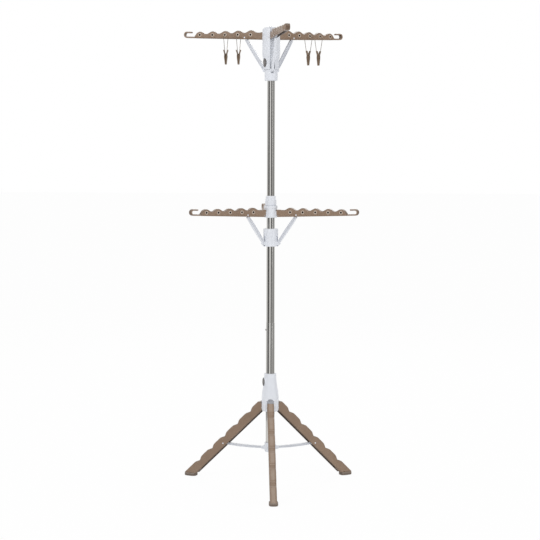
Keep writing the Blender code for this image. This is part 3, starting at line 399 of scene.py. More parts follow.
class Groups:
    """Effects that several finishes share, each a shader node group that is built once."""

    @staticmethod
    def _started(name: str, inputs: dict[str, float | None], outputs: list[str]
                 ) -> tuple[bpy.types.NodeTree, bpy.types.Node, bpy.types.Node]:
        """A new group with its sockets.

        Args:
            name: The group's name.
            inputs: Value of each input, or None for a vector.
            outputs: Names of the values that it puts out.

        Returns:
            The tree, its input node and its output node.
        """
        tree = bpy.data.node_groups.new(name, "ShaderNodeTree")
        for label, value in inputs.items():
            kind = "NodeSocketVector" if value is None else "NodeSocketFloat"
            socket = tree.interface.new_socket(name=label, in_out="INPUT", socket_type=kind)
            if value is not None:
                socket.default_value = value
        for label in outputs:
            tree.interface.new_socket(name=label, in_out="OUTPUT", socket_type="NodeSocketFloat")
        return tree, tree.nodes.new("NodeGroupInput"), tree.nodes.new("NodeGroupOutput")

    @staticmethod
    def _product(tree: bpy.types.NodeTree, one: bpy.types.NodeSocket,
                 other: bpy.types.NodeSocket | float) -> bpy.types.NodeSocket:
        """One value times another, kept between 0 and 1.

        Args:
            tree: Where the node goes.
            one: The first value.
            other: The second value, or a plain number.

        Returns:
            The product.
        """
        node = tree.nodes.new("ShaderNodeMath")
        node.operation, node.use_clamp = "MULTIPLY", True
        tree.links.new(one, node.inputs[0])
        if isinstance(other, float):
            node.inputs[1].default_value = other
        else:
            tree.links.new(other, node.inputs[1])
        return node.outputs[0]

    @classmethod
    def grain(cls) -> bpy.types.NodeTree:
        """Moulded or drawn surface: fine grain, cloudy tone and scattered pits as masks.

        Returns:
            The group. Its Stretch draws the pattern out along Z, as on a drawn tube.
        """
        if "surface grain" in bpy.data.node_groups:
            return bpy.data.node_groups["surface grain"]
        inputs = {"Vector": None, "Grain Scale": 900.0, "Cloud Scale": 14.0, "Stretch": 1.0}
        tree, given, result = cls._started("surface grain", inputs, ["Height", "Cloud", "Specks"])
        nodes, link = tree.nodes, tree.links.new
        stretch = nodes.new("ShaderNodeCombineXYZ")
        stretch.inputs[0].default_value = stretch.inputs[1].default_value = 1.0
        link(given.outputs["Stretch"], stretch.inputs[2])
        scaled = nodes.new("ShaderNodeVectorMath")
        scaled.operation = "MULTIPLY"
        link(given.outputs["Vector"], scaled.inputs[0])
        link(stretch.outputs[0], scaled.inputs[1])
        for label, socket, detail in (("Height", "Grain Scale", 2), ("Cloud", "Cloud Scale", 4)):
            noise = nodes.new("ShaderNodeTexNoise")
            noise.inputs["Detail"].default_value = detail
            link(scaled.outputs[0], noise.inputs["Vector"])
            link(given.outputs[socket], noise.inputs["Scale"])
            link(noise.outputs["Fac"], result.inputs[label])
        speck = nodes.new("ShaderNodeTexVoronoi")
        link(scaled.outputs[0], speck.inputs["Vector"])
        speck.inputs["Scale"].default_value = 260.0
        near = nodes.new("ShaderNodeMapRange")
        near.inputs["From Min"].default_value = 0.16
        near.inputs["From Max"].default_value = 0.08
        link(speck.outputs["Distance"], near.inputs["Value"])
        link(near.outputs["Result"], result.inputs["Specks"])
        return tree

    @classmethod
    def dust(cls) -> bpy.types.NodeTree:
        """Dust that settles: the upward share of the normal, broken up by a noise.

        Returns:
            The group.
        """
        if "settled dust" in bpy.data.node_groups:
            return bpy.data.node_groups["settled dust"]
        inputs = {"Vector": None, "Amount": 0.2}
        tree, given, result = cls._started("settled dust", inputs, ["Mask"])
        nodes, link = tree.nodes, tree.links.new
        facing = nodes.new("ShaderNodeNewGeometry")
        split = nodes.new("ShaderNodeSeparateXYZ")
        link(facing.outputs["Normal"], split.inputs[0])
        noise = nodes.new("ShaderNodeTexNoise")
        noise.inputs["Scale"].default_value = 45.0
        link(given.outputs["Vector"], noise.inputs["Vector"])
        upward = cls._product(tree, split.outputs["Z"], noise.outputs["Fac"])
        link(cls._product(tree, upward, given.outputs["Amount"]), result.inputs["Mask"])
        return tree

    @classmethod
    def painted_highlight_and_shade(cls) -> bpy.types.NodeTree:
        """Splits a piece's tone attribute into its painted highlight share and its painted shade
        share.

        Returns:
            The group. Its Cloud makes both shares uneven.
        """
        if "rubbed rims" in bpy.data.node_groups:
            return bpy.data.node_groups["rubbed rims"]
        tree, given, result = cls._started("rubbed rims", {"Cloud": 0.5}, ["Light", "Dark"])
        nodes, link = tree.nodes, tree.links.new
        tone = nodes.new("ShaderNodeAttribute")
        tone.attribute_name = "tone"
        uneven = nodes.new("ShaderNodeMapRange")
        uneven.inputs["From Min"].default_value = 0.2
        uneven.inputs["From Max"].default_value = 0.75
        uneven.inputs["To Min"].default_value = 0.6
        link(given.outputs["Cloud"], uneven.inputs["Value"])
        for label, sign in (("Light", 1.0), ("Dark", -1.0)):
            part = cls._product(tree, tone.outputs["Fac"], sign)
            link(cls._product(tree, part, uneven.outputs["Result"]), result.inputs[label])
        return tree


@dataclass(frozen=True)
class Finish:
    """A moulded, drawn or rubber surface, with colours as they show on a screen, 0 to 255."""

    name: str
    slot: str
    colour: tuple[int, int, int]
    cloud_colour: tuple[int, int, int]
    # light is the colour of painted highlights; dark is that of painted shade and of the specks'
    # pits
    light: tuple[int, int, int]
    dark: tuple[int, int, int]
    roughness: tuple[float, float]
    metallic: float = 0.0
    coat: float = 0.0
    coat_roughness: float = 0.2
    grain_scale: float = 900.0
    cloud_scale: float = 14.0
    stretch: float = 1.0
    grain_height: float = 0.00003
    dust: float = 0.15
    dust_colour: tuple[int, int, int] = (222, 219, 212)
    speck: float = 0.25

    def material(self) -> bpy.types.Material:
        """The node material, built the first time that it is asked for.

        Returns:
            The material.
        """
        made = bpy.data.materials.get(self.name)
        if made:
            return made
        made = bpy.data.materials.new(self.name)
        made.use_nodes = True
        made.diffuse_color = linear(self.colour)
        tree = made.node_tree
        shader = tree.nodes["Principled BSDF"]
        shader.inputs["Metallic"].default_value = self.metallic
        shader.inputs["Coat Weight"].default_value = self.coat
        shader.inputs["Coat Roughness"].default_value = self.coat_roughness
        place = tree.nodes.new("ShaderNodeTexCoord").outputs["Object"]
        grain = self._effect(tree, Groups.grain(), place, {
            "Grain Scale": self.grain_scale,
            "Cloud Scale": self.cloud_scale,
            "Stretch": self.stretch,
        })
        tree.links.new(self._layered(tree, grain, place), shader.inputs["Base Color"])
        self._relief(tree, grain, shader)
        return made

    @staticmethod
    def _effect(tree: bpy.types.NodeTree, group: bpy.types.NodeTree, vector: bpy.types.NodeSocket,
                values: dict[str, float]) -> bpy.types.Node:
        """A shared effect in this material, with this finish's values.

        Args:
            tree: The material's nodes.
            group: The effect.
            vector: Where on the piece it is.
            values: The number for each of the effect's inputs.

        Returns:
            The effect's node.
        """
        node = tree.nodes.new("ShaderNodeGroup")
        node.node_tree = group
        tree.links.new(vector, node.inputs["Vector"])
        for label, value in values.items():
            node.inputs[label].default_value = value
        return node

    def _layered(self, tree: bpy.types.NodeTree, grain: bpy.types.Node, place: bpy.types.NodeSocket
                 ) -> bpy.types.NodeSocket:
        """The colour with clouds, specks, the tone's painted highlights and painted shade, and dust
        mixed over it.

        Args:
            tree: The material's nodes.
            grain: The grain effect.
            place: Where on the piece it is.

        Returns:
            The finished colour.
        """
        nodes, link = tree.nodes, tree.links.new
        painted_light = nodes.new("ShaderNodeGroup")
        painted_light.node_tree = Groups.painted_highlight_and_shade()
        link(grain.outputs["Cloud"], painted_light.inputs["Cloud"])
        dust = self._effect(tree, Groups.dust(), place, {"Amount": self.dust})
        clouds = nodes.new("ShaderNodeMapRange")
        clouds.inputs["From Min"].default_value = 0.35
        clouds.inputs["From Max"].default_value = 0.65
        link(grain.outputs["Cloud"], clouds.inputs["Value"])
        specks = nodes.new("ShaderNodeMath")
        specks.operation = "MULTIPLY"
        link(grain.outputs["Specks"], specks.inputs[0])
        specks.inputs[1].default_value = self.speck
        layers = (
            (clouds.outputs["Result"], self.cloud_colour),
            (specks.outputs[0], self.dark),
            # painted highlight and painted shade, from the piece's tone
            (painted_light.outputs["Light"], self.light),
            (painted_light.outputs["Dark"], self.dark),
            (dust.outputs["Mask"], self.dust_colour),
        )
        colour = None
        for mask, over in layers:
            mix = nodes.new("ShaderNodeMix")
            mix.data_type = "RGBA"
            under, top = mix.inputs[6], mix.inputs[7]
            link(mask, mix.inputs["Factor"])
            if colour is None:
                under.default_value = linear(self.colour)
            else:
                link(colour, under)
            top.default_value = linear(over)
            colour = mix.outputs[2]
        return colour

    def _relief(self, tree: bpy.types.NodeTree, grain: bpy.types.Node,
                shader: bpy.types.Node) -> None:
        """Makes the gloss cloudy between the two roughnesses and gives the grain its height.

        Args:
            tree: The material's nodes.
            grain: The grain effect.
            shader: The shader that takes both.
        """
        nodes, link = tree.nodes, tree.links.new
        gloss = nodes.new("ShaderNodeMapRange")
        gloss.inputs["To Min"].default_value, gloss.inputs["To Max"].default_value = self.roughness
        link(grain.outputs["Cloud"], gloss.inputs["Value"])
        link(gloss.outputs["Result"], shader.inputs["Roughness"])
        bump = nodes.new("ShaderNodeBump")
        bump.inputs["Distance"].default_value = self.grain_height
        link(grain.outputs["Height"], bump.inputs["Height"])
        link(bump.outputs["Normal"], shader.inputs["Normal"])


TAN = Finish(
    "tan moulding", "tan_plastic", (148, 124, 104), (140, 116, 96), (212, 198, 184), (78, 60, 48),
    (0.34, 0.46), grain_height=0.00005,
)
# The tan plastic again, darker: painted shade on the insides of the channels and on the arms' inner
# ribs
TAN_IN_SHADE = Finish(
    "channel inside", "tan_plastic", (84, 67, 55), (74, 58, 48), (120, 100, 86), (44, 34, 28),
    (0.5, 0.65), dust=0.1,
)
WHITE = Finish(
    "white moulding", "white_plastic", (232, 235, 241), (226, 229, 236), (244, 246, 250),
    (128, 128, 134), (0.3, 0.4), coat=0.15, speck=0.05, dust=0.2,
)
BUTTON_GREY = Finish(
    "button grey", "grey_plastic", (122, 118, 116), (110, 107, 106), (170, 167, 165), (62, 60, 60),
    (0.4, 0.55), speck=0.1,
)
PAD = Finish(
    "foot rubber", "pad_rubber", (124, 108, 96), (112, 97, 87), (156, 141, 128), (64, 54, 48),
    (0.6, 0.8), grain_scale=500.0, grain_height=0.00012, dust=0.35, speck=0.4,
)
STEEL = Finish(
    "drawn steel", "pole_steel", (206, 204, 200), (198, 196, 192), (236, 235, 232), (120, 118, 114),
    (0.03, 0.07), metallic=1.0, grain_scale=700.0, cloud_scale=60.0, stretch=0.02,
    grain_height=0.000002, dust=0.0, speck=0.0,
)
WIRE = Finish(
    "spring wire", "pole_steel", (172, 162, 148), (150, 140, 128), (214, 206, 196), (96, 88, 80),
    (0.2, 0.32), metallic=1.0, cloud_scale=220.0, grain_height=0.00001, dust=0.0, speck=0.1,
)
CLIP_BROWN = Finish(
    "clip brown", "tan_plastic", (128, 104, 82), (114, 94, 72), (170, 148, 126), (58, 46, 36),
    (0.35, 0.5), speck=0.3,
)


# Pieces


@dataclass
class Maker:
    """Puts surfaces into the scene as finished pieces that ride on the CAD's bodies."""

    frame: dict
    # painted shade: the tone of points deep in a refined moulding's slots
    painted_slot_shade: float = -0.7
    made: list[bpy.types.Object] = field(default_factory=list)

    def piece(self, name: str, shell: Shell, finish: Finish, body: str,
              stands_for: tuple[str, ...] = (), wall: float = 0) -> bpy.types.Object:
        """Makes a piece of a surface.

        Args:
            name: The piece's name.
            shell: Its surface, in the frame of the model.
            finish: What it is made of.
            body: The CAD body that it moves with.
            stands_for: The CAD nodes that it replaces.
            wall: Thickness of an open sheet, inwards.

        Returns:
            The finished object.
        """
        mesh = mesh_of(name, shell)
        mesh.attributes.new("tone", "FLOAT", "POINT").data.foreach_set("value", shell.tone)
        self._clean(mesh, sheet=wall > 0)
        return self._finish(name, mesh, finish, body, stands_for, wall=wall)

    def refined(self, node: str, finish: Finish, body: str, bevel: float, slot_shade_radius: float = 0
                ) -> bpy.types.Object:
        """Replaces a CAD node by a merged copy of it with rounded edges and smooth round faces.

        Args:
            node: The CAD node.
            finish: What it is made of.
            body: The CAD body that it moves with.
            bevel: Width of its rounded edges.
            slot_shade_radius: Points nearer to the pole's axis than this are painted dark, as
                painted shade in deep slots.

        Returns:
            The finished object.
        """
        mesh = self.frame["nodes"][node].data.copy()
        mesh.name = f"{node}_moulding"
        places = np.zeros(3 * len(mesh.vertices))
        mesh.vertices.foreach_get("co", places)
        out = np.hypot(*places.reshape(-1, 3).T[:2])
        # painted shade in deep slots: points near the axis are darkened
        tone = np.where(out < slot_shade_radius, self.painted_slot_shade, 0.0)
        mesh.attributes.new("tone", "FLOAT", "POINT").data.foreach_set("value", tone)
        self._clean(mesh, flat=True)
        return self._finish(f"{node}_moulding", mesh, finish, body, (node,), bevel=bevel)

    @staticmethod
    def _clean(mesh: bpy.types.Mesh, flat: bool = False, sheet: bool = False) -> None:
        """Merges a mesh's doubles and turns its faces outwards.

        Args:
            mesh: The mesh.
            flat: Joins its faces where they lie in one plane.
            sheet: It is an open sheet, whose faces are turned away from its middle.
        """
        work = bmesh.new()
        work.from_mesh(mesh)
        bmesh.ops.remove_doubles(work, verts=work.verts, dist=MERGE_WITHIN)
        bmesh.ops.dissolve_degenerate(work, edges=work.edges, dist=MERGE_WITHIN)
        if flat:
            bmesh.ops.dissolve_limit(
                work, verts=work.verts, edges=work.edges, angle_limit=FLAT_WITHIN
            )
        bmesh.ops.recalc_face_normals(work, faces=work.faces)
        if sheet:
            middle = sum((v.co for v in work.verts), Vector()) / len(work.verts)
            outward = sum(
                (f.calc_center_median() - middle).dot(f.normal) * f.calc_area() for f in work.faces
            )
            if outward < 0:
                bmesh.ops.reverse_faces(work, faces=work.faces)
        work.to_mesh(mesh)
        work.free()

    def _finish(self, name: str, mesh: bpy.types.Mesh, finish: Finish, body: str,
                stands_for: tuple[str, ...], wall: float = 0, bevel: float = 0) -> bpy.types.Object:
        """Smooths and dresses a clean mesh and sets it on its body.

        Args:
            name: The piece's name.
            mesh: Its mesh.
            finish: What it is made of.
            body: The CAD body that it moves with.
            stands_for: The CAD nodes that it replaces.
            wall: Thickness of an open sheet, inwards. Its inside takes the darker tan finish,
                painted shade.
            bevel: Width of its rounded edges.

        Returns:
            The finished object.
        """
        mesh.materials.clear()
        mesh.materials.append(finish.material())
        mesh.shade_smooth()
        mesh.set_sharp_from_angle(angle=SHARP_FROM)
        piece = in_scene(name, mesh)
        if wall:
            mesh.materials.append(TAN_IN_SHADE.material())
            solid = piece.modifiers.new("wall", "SOLIDIFY")
            solid.thickness, solid.offset, solid.material_offset = wall, -1, 1
            solid.use_even_offset = True
        if bevel:
            edges = piece.modifiers.new("edges", "BEVEL")
            edges.width, edges.segments, edges.limit_method = bevel, BEVEL_STEPS, "ANGLE"
            edges.angle_limit, edges.harden_normals = BEVEL_FROM, True
        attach(piece, body)
        if stands_for:
            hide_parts(*stands_for)
        self.made.append(piece)
        LOG.info("%s rides on %s", name, body)
        return piece


class Side(Enum):
    """Where a leg or an arm stands in its ring of three, as turns of the ring's step."""

    FRONT = 0
    RIGHT = 1
    LEFT = 2

    def azimuth(self, first: float) -> float:
        """Its azimuth in radians, from that of the ring's first place in degrees."""
        return math.radians(first + RING_STEP * self.value)


@dataclass(frozen=True)
class TierPlace:
    """Where one tier's arms hinge and its struts stand."""

    name: str
    sides: tuple[str, str, str]
    azimuth: float
    pivot_radius: float
    pivot_z: float
    runner_radius: float
    runner_z: float

    def places(self) -> list[tuple[str, float]]:
        """Name and azimuth in radians of each arm."""
        turns = [math.radians(self.azimuth + RING_STEP * turn) for turn in range(len(self.sides))]
        return list(zip(self.sides, turns))


class Tier(Enum):
    """The two tiers of arms."""

    TOP = TierPlace(
        "top", ("front", "right", "left"), TOP_AZIMUTH, pivot_radius=27 * MM, pivot_z=1540 * MM,
        runner_radius=23 * MM, runner_z=1430 * MM,
    )
    MID = TierPlace(
        "mid", ("back", "left", "right"), MID_AZIMUTH, pivot_radius=31 * MM, pivot_z=937 * MM,
        runner_radius=28 * MM, runner_z=841 * MM,
    )


@dataclass
class Pole:
    """Three telescoped steel tubes with rolled lips, and the button that locks the lower two."""

    radii: tuple[float, float, float] = (15.3 * MM, 14.4 * MM, 13.5 * MM)
    lows: tuple[float, float, float] = (119.3 * MM, 466 * MM, 935.3 * MM)
    highs: tuple[float, float, float] = (566 * MM, 985.3 * MM, 1554 * MM)
    wall: float = 0.6 * MM
    sides: int = 64
    snap_azimuth: float = 186
    snap_z: float = 541 * MM
    snap_radius: float = 3.2 * MM
    snap_root: float = 12 * MM
    snap_stand: float = 2.1 * MM
    snap_dome: float = 1.6 * MM
    snap_shade: float = 1 * MM

    def tube(self, radius: float, low: float, high: float) -> Shell:
        """A tube whose edges are rolled: its section turns in on a small half circle at each end.

        Args:
            radius: Its outer radius.
            low: Height of its lower edge.
            high: Height of its upper edge, which is painted with a highlight.

        Returns:
            The tube.
        """
        half = self.wall / 2
        top = arc((radius - half, high - half), half, 0, math.pi, 6)
        foot = arc((radius - half, low + half), half, -math.pi, 0, 6)
        # painted highlight along the rolled upper lip
        tone = np.concatenate([np.full(len(top), 0.6), np.zeros(len(foot))])
        return lathe(np.vstack([top, foot]), self.sides, ring=True, tone=tone)

    def button(self) -> Shell:
        """The snap button: a quarter ellipse turned on a pin.

        It is painted with shade where it leaves the tube and with a highlight at its middle.

        Returns:
            The button, in its place on the pole.
        """
        face = self.radii[0] + self.snap_stand
        rim = face - self.snap_dome
        dome = arc((0, 0), 1, 0, QUARTER_TURN, 8)
        side = np.array([
            [0, self.snap_root], [self.snap_radius, self.snap_root],
            [self.snap_radius, rim - self.snap_shade],
        ])
        cap = np.stack([self.snap_radius * dome[:, 0], rim + self.snap_dome * dome[:, 1]], axis=-1)
        # painted shade on the pin where it leaves the tube, a painted highlight growing to the
        # dome's middle
        tone = np.concatenate([np.full(len(side), -1.0), np.linspace(0, 0.8, len(cap))])
        turned = lathe(np.vstack([side, cap]), steps=28, tone=tone)
        return turned.placed(facing_out(math.radians(self.snap_azimuth), 0, self.snap_z))

    def build(self, maker: Maker) -> None:
        """Makes the tubes and the snap button.

        Args:
            maker: Puts them into the scene.
        """
        for name, *size in zip(("lower", "middle", "upper"), self.radii, self.lows, self.highs):
            maker.piece(f"{name}_drawn_tube", self.tube(*size), STEEL, "pole", (f"{name}_tube",))
        maker.piece("snap_dome", self.button(), BUTTON_GREY, "snap_button", ("snap_button",))


@dataclass
class Rib:
    """A thin raised line that runs up a turned moulding, as a mould's seam or a grip does."""

    width: float = 1.2 * MM
    stand: float = 0.35 * MM
    stations: int = 24
    corners: int = 12
    end_slope: float = 6
    # painted highlight along the rib
    tone: float = 0.3

    def along(self, profile: Array, azimuth: float) -> Shell:
        """Carries a low rounded section up the profile at one azimuth.

        Its height is a steep sine of the way along, cut off at its full height, so that both
        ends run out.

        Args:
            profile: Radius and height of each point, from below upwards.
            azimuth: Where round the pole it runs, in radians.

        Returns:
            The rib.
        """
        line = evened(np.asarray(profile), self.stations)
        run_out = np.minimum(1, self.end_slope * np.sin(np.linspace(0, math.pi, self.stations)))
        section = rounded(self.width, 2 * self.stand, 3.0, self.corners)
        sections = section[None] * np.stack([np.ones_like(run_out), run_out], axis=-1)[:, None]
        tone = np.full((self.stations, self.corners), self.tone)
        body = sweep(upright(line), SIDEWAYS, sections, tone=tone)
        return body.placed(Matrix.Rotation(azimuth, 4, "Z"))


@dataclass(frozen=True)
class Dot:
    """A small turned mark for a round skin, as (radius, height, tone) rows in millimetres."""

    # each row's tone paints shade or a highlight on the mark
    rows: tuple[tuple[float, float, float], ...]
    sides: int

    def pairs(self, azimuth: float, turn: float, radius: float, height: float) -> Shell:
        """Two of the mark at each place in a ring of three, turned out of the skin.

        Args:
            azimuth: That of the ring's first place, in degrees.
            turn: How far to each side of a place the marks lie, in radians.
            radius: The skin's radius.
            height: Their height on the pole.

        Returns:
            The six marks.
        """
        rows = np.array(self.rows)
        dot = lathe(rows[:, :2] * MM, self.sides, tone=rows[:, 2])
        return together([
            dot.placed(facing_out(side.azimuth(azimuth) + lean, radius, height))
            for side in Side for lean in (-turn, turn)
        ])


@dataclass
class OvalButton:
    """A release button: an oval with a dished face and grip ridges across it."""

    azimuth: float
    height: float
    width: float
    length: float
    face: float
    depth: float
    corner: float = 1.4 * MM
    ridge: float = 0.3 * MM
    ridge_run: float = 1.9 * MM
    dish: float = 0.7 * MM
    sides: int = 40

    def shell(self) -> Shell:
        """Rings of an oval: side, rounded edge, then a dish with ridges, by share of its width.

        The dish falls with the root of the distance from its rim. The ridges are cosine waves of
        the height, one for each turn of the height over the ridges' run.

        Returns:
            The button, in its place on the pole.
        """
        angle = np.linspace(0, FULL_TURN, self.sides, endpoint=False)
        share = np.array([1, 1, 0.97, 0.9, 0.8, 0.6, 0.4, 0.2, 0.02])[:, None]
        edge = [self.depth, self.corner, 0.4 * self.corner, 0.1 * self.corner]
        drop = np.array(edge + [0] * (len(share) - len(edge)))[:, None]
        across = share * np.cos(angle) * self.width / 2
        along = share * np.sin(angle) * self.length / 2
        dish = self.dish * np.clip(0.8 - share, 0, 1) ** 0.5
        waves = self.ridge * np.cos(along / self.ridge_run) * np.clip((0.75 - share) * 6, 0, 1)
        out = self.face - self.ridge / 2 - drop - dish + waves * 0.5
        # painted shade at the rim; painted highlights on the ridges' crests and painted shade in
        # their troughs
        tone = np.where(share > 0.85, -0.4, 0.25 * np.sign(waves)) * np.ones_like(across)
        rings = np.stack([out, across, along], axis=-1)
        return loft(rings, tone).placed(about_pole(math.radians(self.azimuth), 0, self.height))


@dataclass
class BaseHub:
    """The tapered socket over the legs' hinges, with its seams, pin heads and release button."""

    bevel: float = 0.7 * MM
    # painted shade: points nearer the axis than this are darkened, in the legs' slots
    slot_shade_radius: float = 19.5 * MM
    skin: tuple[tuple[float, float], ...] = (
        (29.2 * MM, 267 * MM), (29.2 * MM, 306 * MM), (27.5 * MM, 328 * MM),
        (23.5 * MM, 350 * MM), (20.7 * MM, 371.5 * MM), (20.7 * MM, 388 * MM),
    )
    ring_height: float = 373 * MM
    ring_stand: float = 0.5 * MM
    # painted shade round the pin's foot, a painted highlight on its top
    pin: Dot = Dot(
        ((0, -0.4, -1), (1.6, -0.4, -1), (1.6, 0.1, -1), (1.1, 0.45, -0.3), (0, 0.5, 0.2)), 16
    )
    pin_turn: float = 0.48
    pin_height: float = 295 * MM
    button: OvalButton = field(
        default_factory=lambda: OvalButton(
            205, 361 * MM, width=16 * MM, length=28 * MM, face=27 * MM, depth=6.5 * MM
        )
    )

    def seams(self) -> Shell:
        """A mould line between each pair of legs, and one low ring round the neck.

        Returns:
            The lines and the ring, whose section is a circle sunk half into the neck.
        """
        between = LEG_AZIMUTH + RING_STEP / 2
        lines = [Rib().along(self.skin, side.azimuth(between)) for side in Side]
        ring = arc((self.skin[-1][0], self.ring_height), self.ring_stand, 0, FULL_TURN, 10)[:-1]
        return together([*lines, lathe(ring, steps=56, ring=True)])

    def pins(self) -> Shell:
        """Two small moulded dots on the hub's skin, one on each side of a leg's slot."""
        return self.pin.pairs(LEG_AZIMUTH, self.pin_turn, self.skin[0][0], self.pin_height)

    def build(self, maker: Maker) -> None:
        """Makes the hub, its seams, its pins and its button.

        Args:
            maker: Puts them into the scene.
        """
        maker.refined("base_hub", WHITE, "base", self.bevel, self.slot_shade_radius)
        maker.piece("base_hub_seams", self.seams(), WHITE, "base")
        maker.piece("base_hub_pins", self.pins(), WHITE, "base")
        button = self.button.shell()
        maker.piece("base_release", button, BUTTON_GREY, "base_button", ("base_button",))


@dataclass
class Ears:
    """Domed pin heads on the forked ears of a runner or a cup."""

    azimuth: float
    radius: float
    height: float
    half_span: float = 8.2 * MM
    pin: float = 2.6 * MM
    dome: float = 0.5 * MM

    @classmethod
    def of_runner(cls, tier: TierPlace) -> "Ears":
        """Those of a tier's runner, which the tier's struts turn on."""
        return cls(tier.azimuth, tier.runner_radius, tier.runner_z)

    def shell(self) -> Shell:
        """One pin through each pair of ears.

        Returns:
            The three pins.
        """
        pin = cross_disc(self.pin, self.half_span, self.dome)
        return together([
            pin.placed(about_pole(side.azimuth(self.azimuth), self.radius, self.height))
            for side in Side
        ])


@dataclass
class Spreader:
    """The cup on the pole's foot that carries the braces."""

    radius: float = 18.8 * MM
    low: float = 116 * MM
    high: float = 149 * MM
    bevel: float = 0.6 * MM
    grip: Rib = field(default_factory=lambda: Rib(1.6 * MM, 0.5 * MM))
    grip_turn: float = 0.35
    grip_foot: float = 4 * MM
    grip_head: float = 5 * MM
    lip: float = 0.8 * MM
    lip_inset: float = 0.2 * MM
    lip_drop: float = 2 * MM
    ears: Ears = field(default_factory=lambda: Ears(LEG_AZIMUTH, 26 * MM, 129 * MM))

    def grips(self) -> Shell:
        """Three vertical ribs between each pair of ears, and a ring near the top edge.

        Returns:
            The ribs and the ring, whose section is a circle.
        """
        line = np.array([
            [self.radius, self.low + self.grip_foot], [self.radius, self.high - self.grip_head]
        ])
        between = LEG_AZIMUTH + RING_STEP / 2
        ribs = [
            self.grip.along(line, side.azimuth(between) + turn)
            for side in Side for turn in (-self.grip_turn, 0, self.grip_turn)
        ]
        centre = (self.radius - self.lip_inset, self.high - self.lip_drop)
        lip = arc(centre, self.lip, 0, FULL_TURN, 12)[:-1]
        return together([*ribs, lathe(lip, steps=56, ring=True)])

    def build(self, maker: Maker) -> None:
        """Makes the cup, its grips and its pin heads.

        Args:
            maker: Puts them into the scene.
        """
        maker.refined("spreader", WHITE, "pole", self.bevel)
        maker.piece("spreader_grips", self.grips(), WHITE, "pole")
        maker.piece("spreader_pins", self.ears.shell(), WHITE, "pole")


@dataclass
class MiddleStation:
    """The middle hub, the collar above it and the runner below it."""

    bevel: float = 0.6 * MM
    collar_low: float = 970.3 * MM
    collar_step: float = 992.3 * MM
    collar_high: float = 1003.3 * MM
    collar_radius: float = 18.8 * MM
    collar_top_radius: float = 17.2 * MM
    collar_sides: int = 64
    bore: float = 14.7 * MM
    bore_top: float = 985.6 * MM
    neck: float = 13.8 * MM
    skirt_corner: float = 1 * MM
    step_corner: float = 1.6 * MM
    top_corner: float = 1.4 * MM
    grip: Rib = field(default_factory=lambda: Rib(1.5 * MM, 0.45 * MM))
    grip_count: int = 12
    grip_foot: float = 3 * MM
    grip_head: float = 4 * MM
    ears: Ears = field(default_factory=lambda: Ears.of_runner(Tier.MID.value))

    def collar(self) -> Shell:
        """The collar turned in one: straight runs, with a quarter circle at each outer corner.

        Returns:
            The collar, with its bore and its neck.
        """
        skirt = arc(
            (self.collar_radius - self.skirt_corner, self.collar_low + self.skirt_corner),
            self.skirt_corner, -QUARTER_TURN, 0, 5,
        )
        step = arc(
            (self.collar_radius - self.step_corner, self.collar_step - self.step_corner),
            self.step_corner, 0, QUARTER_TURN, 6,
        )
        top = arc(
            (self.collar_top_radius - self.top_corner, self.collar_high - self.top_corner),
            self.top_corner, 0, QUARTER_TURN, 6,
        )
        inner = np.array([
            [self.neck, self.collar_high], [self.neck, self.bore_top], [self.bore, self.bore_top],
            [self.bore, self.collar_low],
        ])
        return lathe(np.vstack([skirt, step, top, inner]), self.collar_sides, ring=True)

    def grips(self) -> Shell:
        """Grip ribs at even turns all round the collar's skirt.

        Returns:
            The ribs.
        """
        line = np.array([
            [self.collar_radius, self.collar_low + self.grip_foot],
            [self.collar_radius, self.collar_step - self.grip_head],
        ])
        turns = np.linspace(0, FULL_TURN, self.grip_count, endpoint=False)
        return together([self.grip.along(line, turn) for turn in turns])

    def build(self, maker: Maker) -> None:
        """Makes the hub, the collar, the runner and their small parts.

        Args:
            maker: Puts them into the scene.
        """
        maker.refined("mid_hub", WHITE, "pole", self.bevel)
        maker.piece("mid_collar_turned", self.collar(), WHITE, "pole", ("mid_collar",))
        maker.piece("mid_collar_grips", self.grips(), WHITE, "pole")
        maker.refined("mid_runner", WHITE, "mid_runner", self.bevel)
        maker.piece("mid_runner_pins", self.ears.shell(), WHITE, "mid_runner")


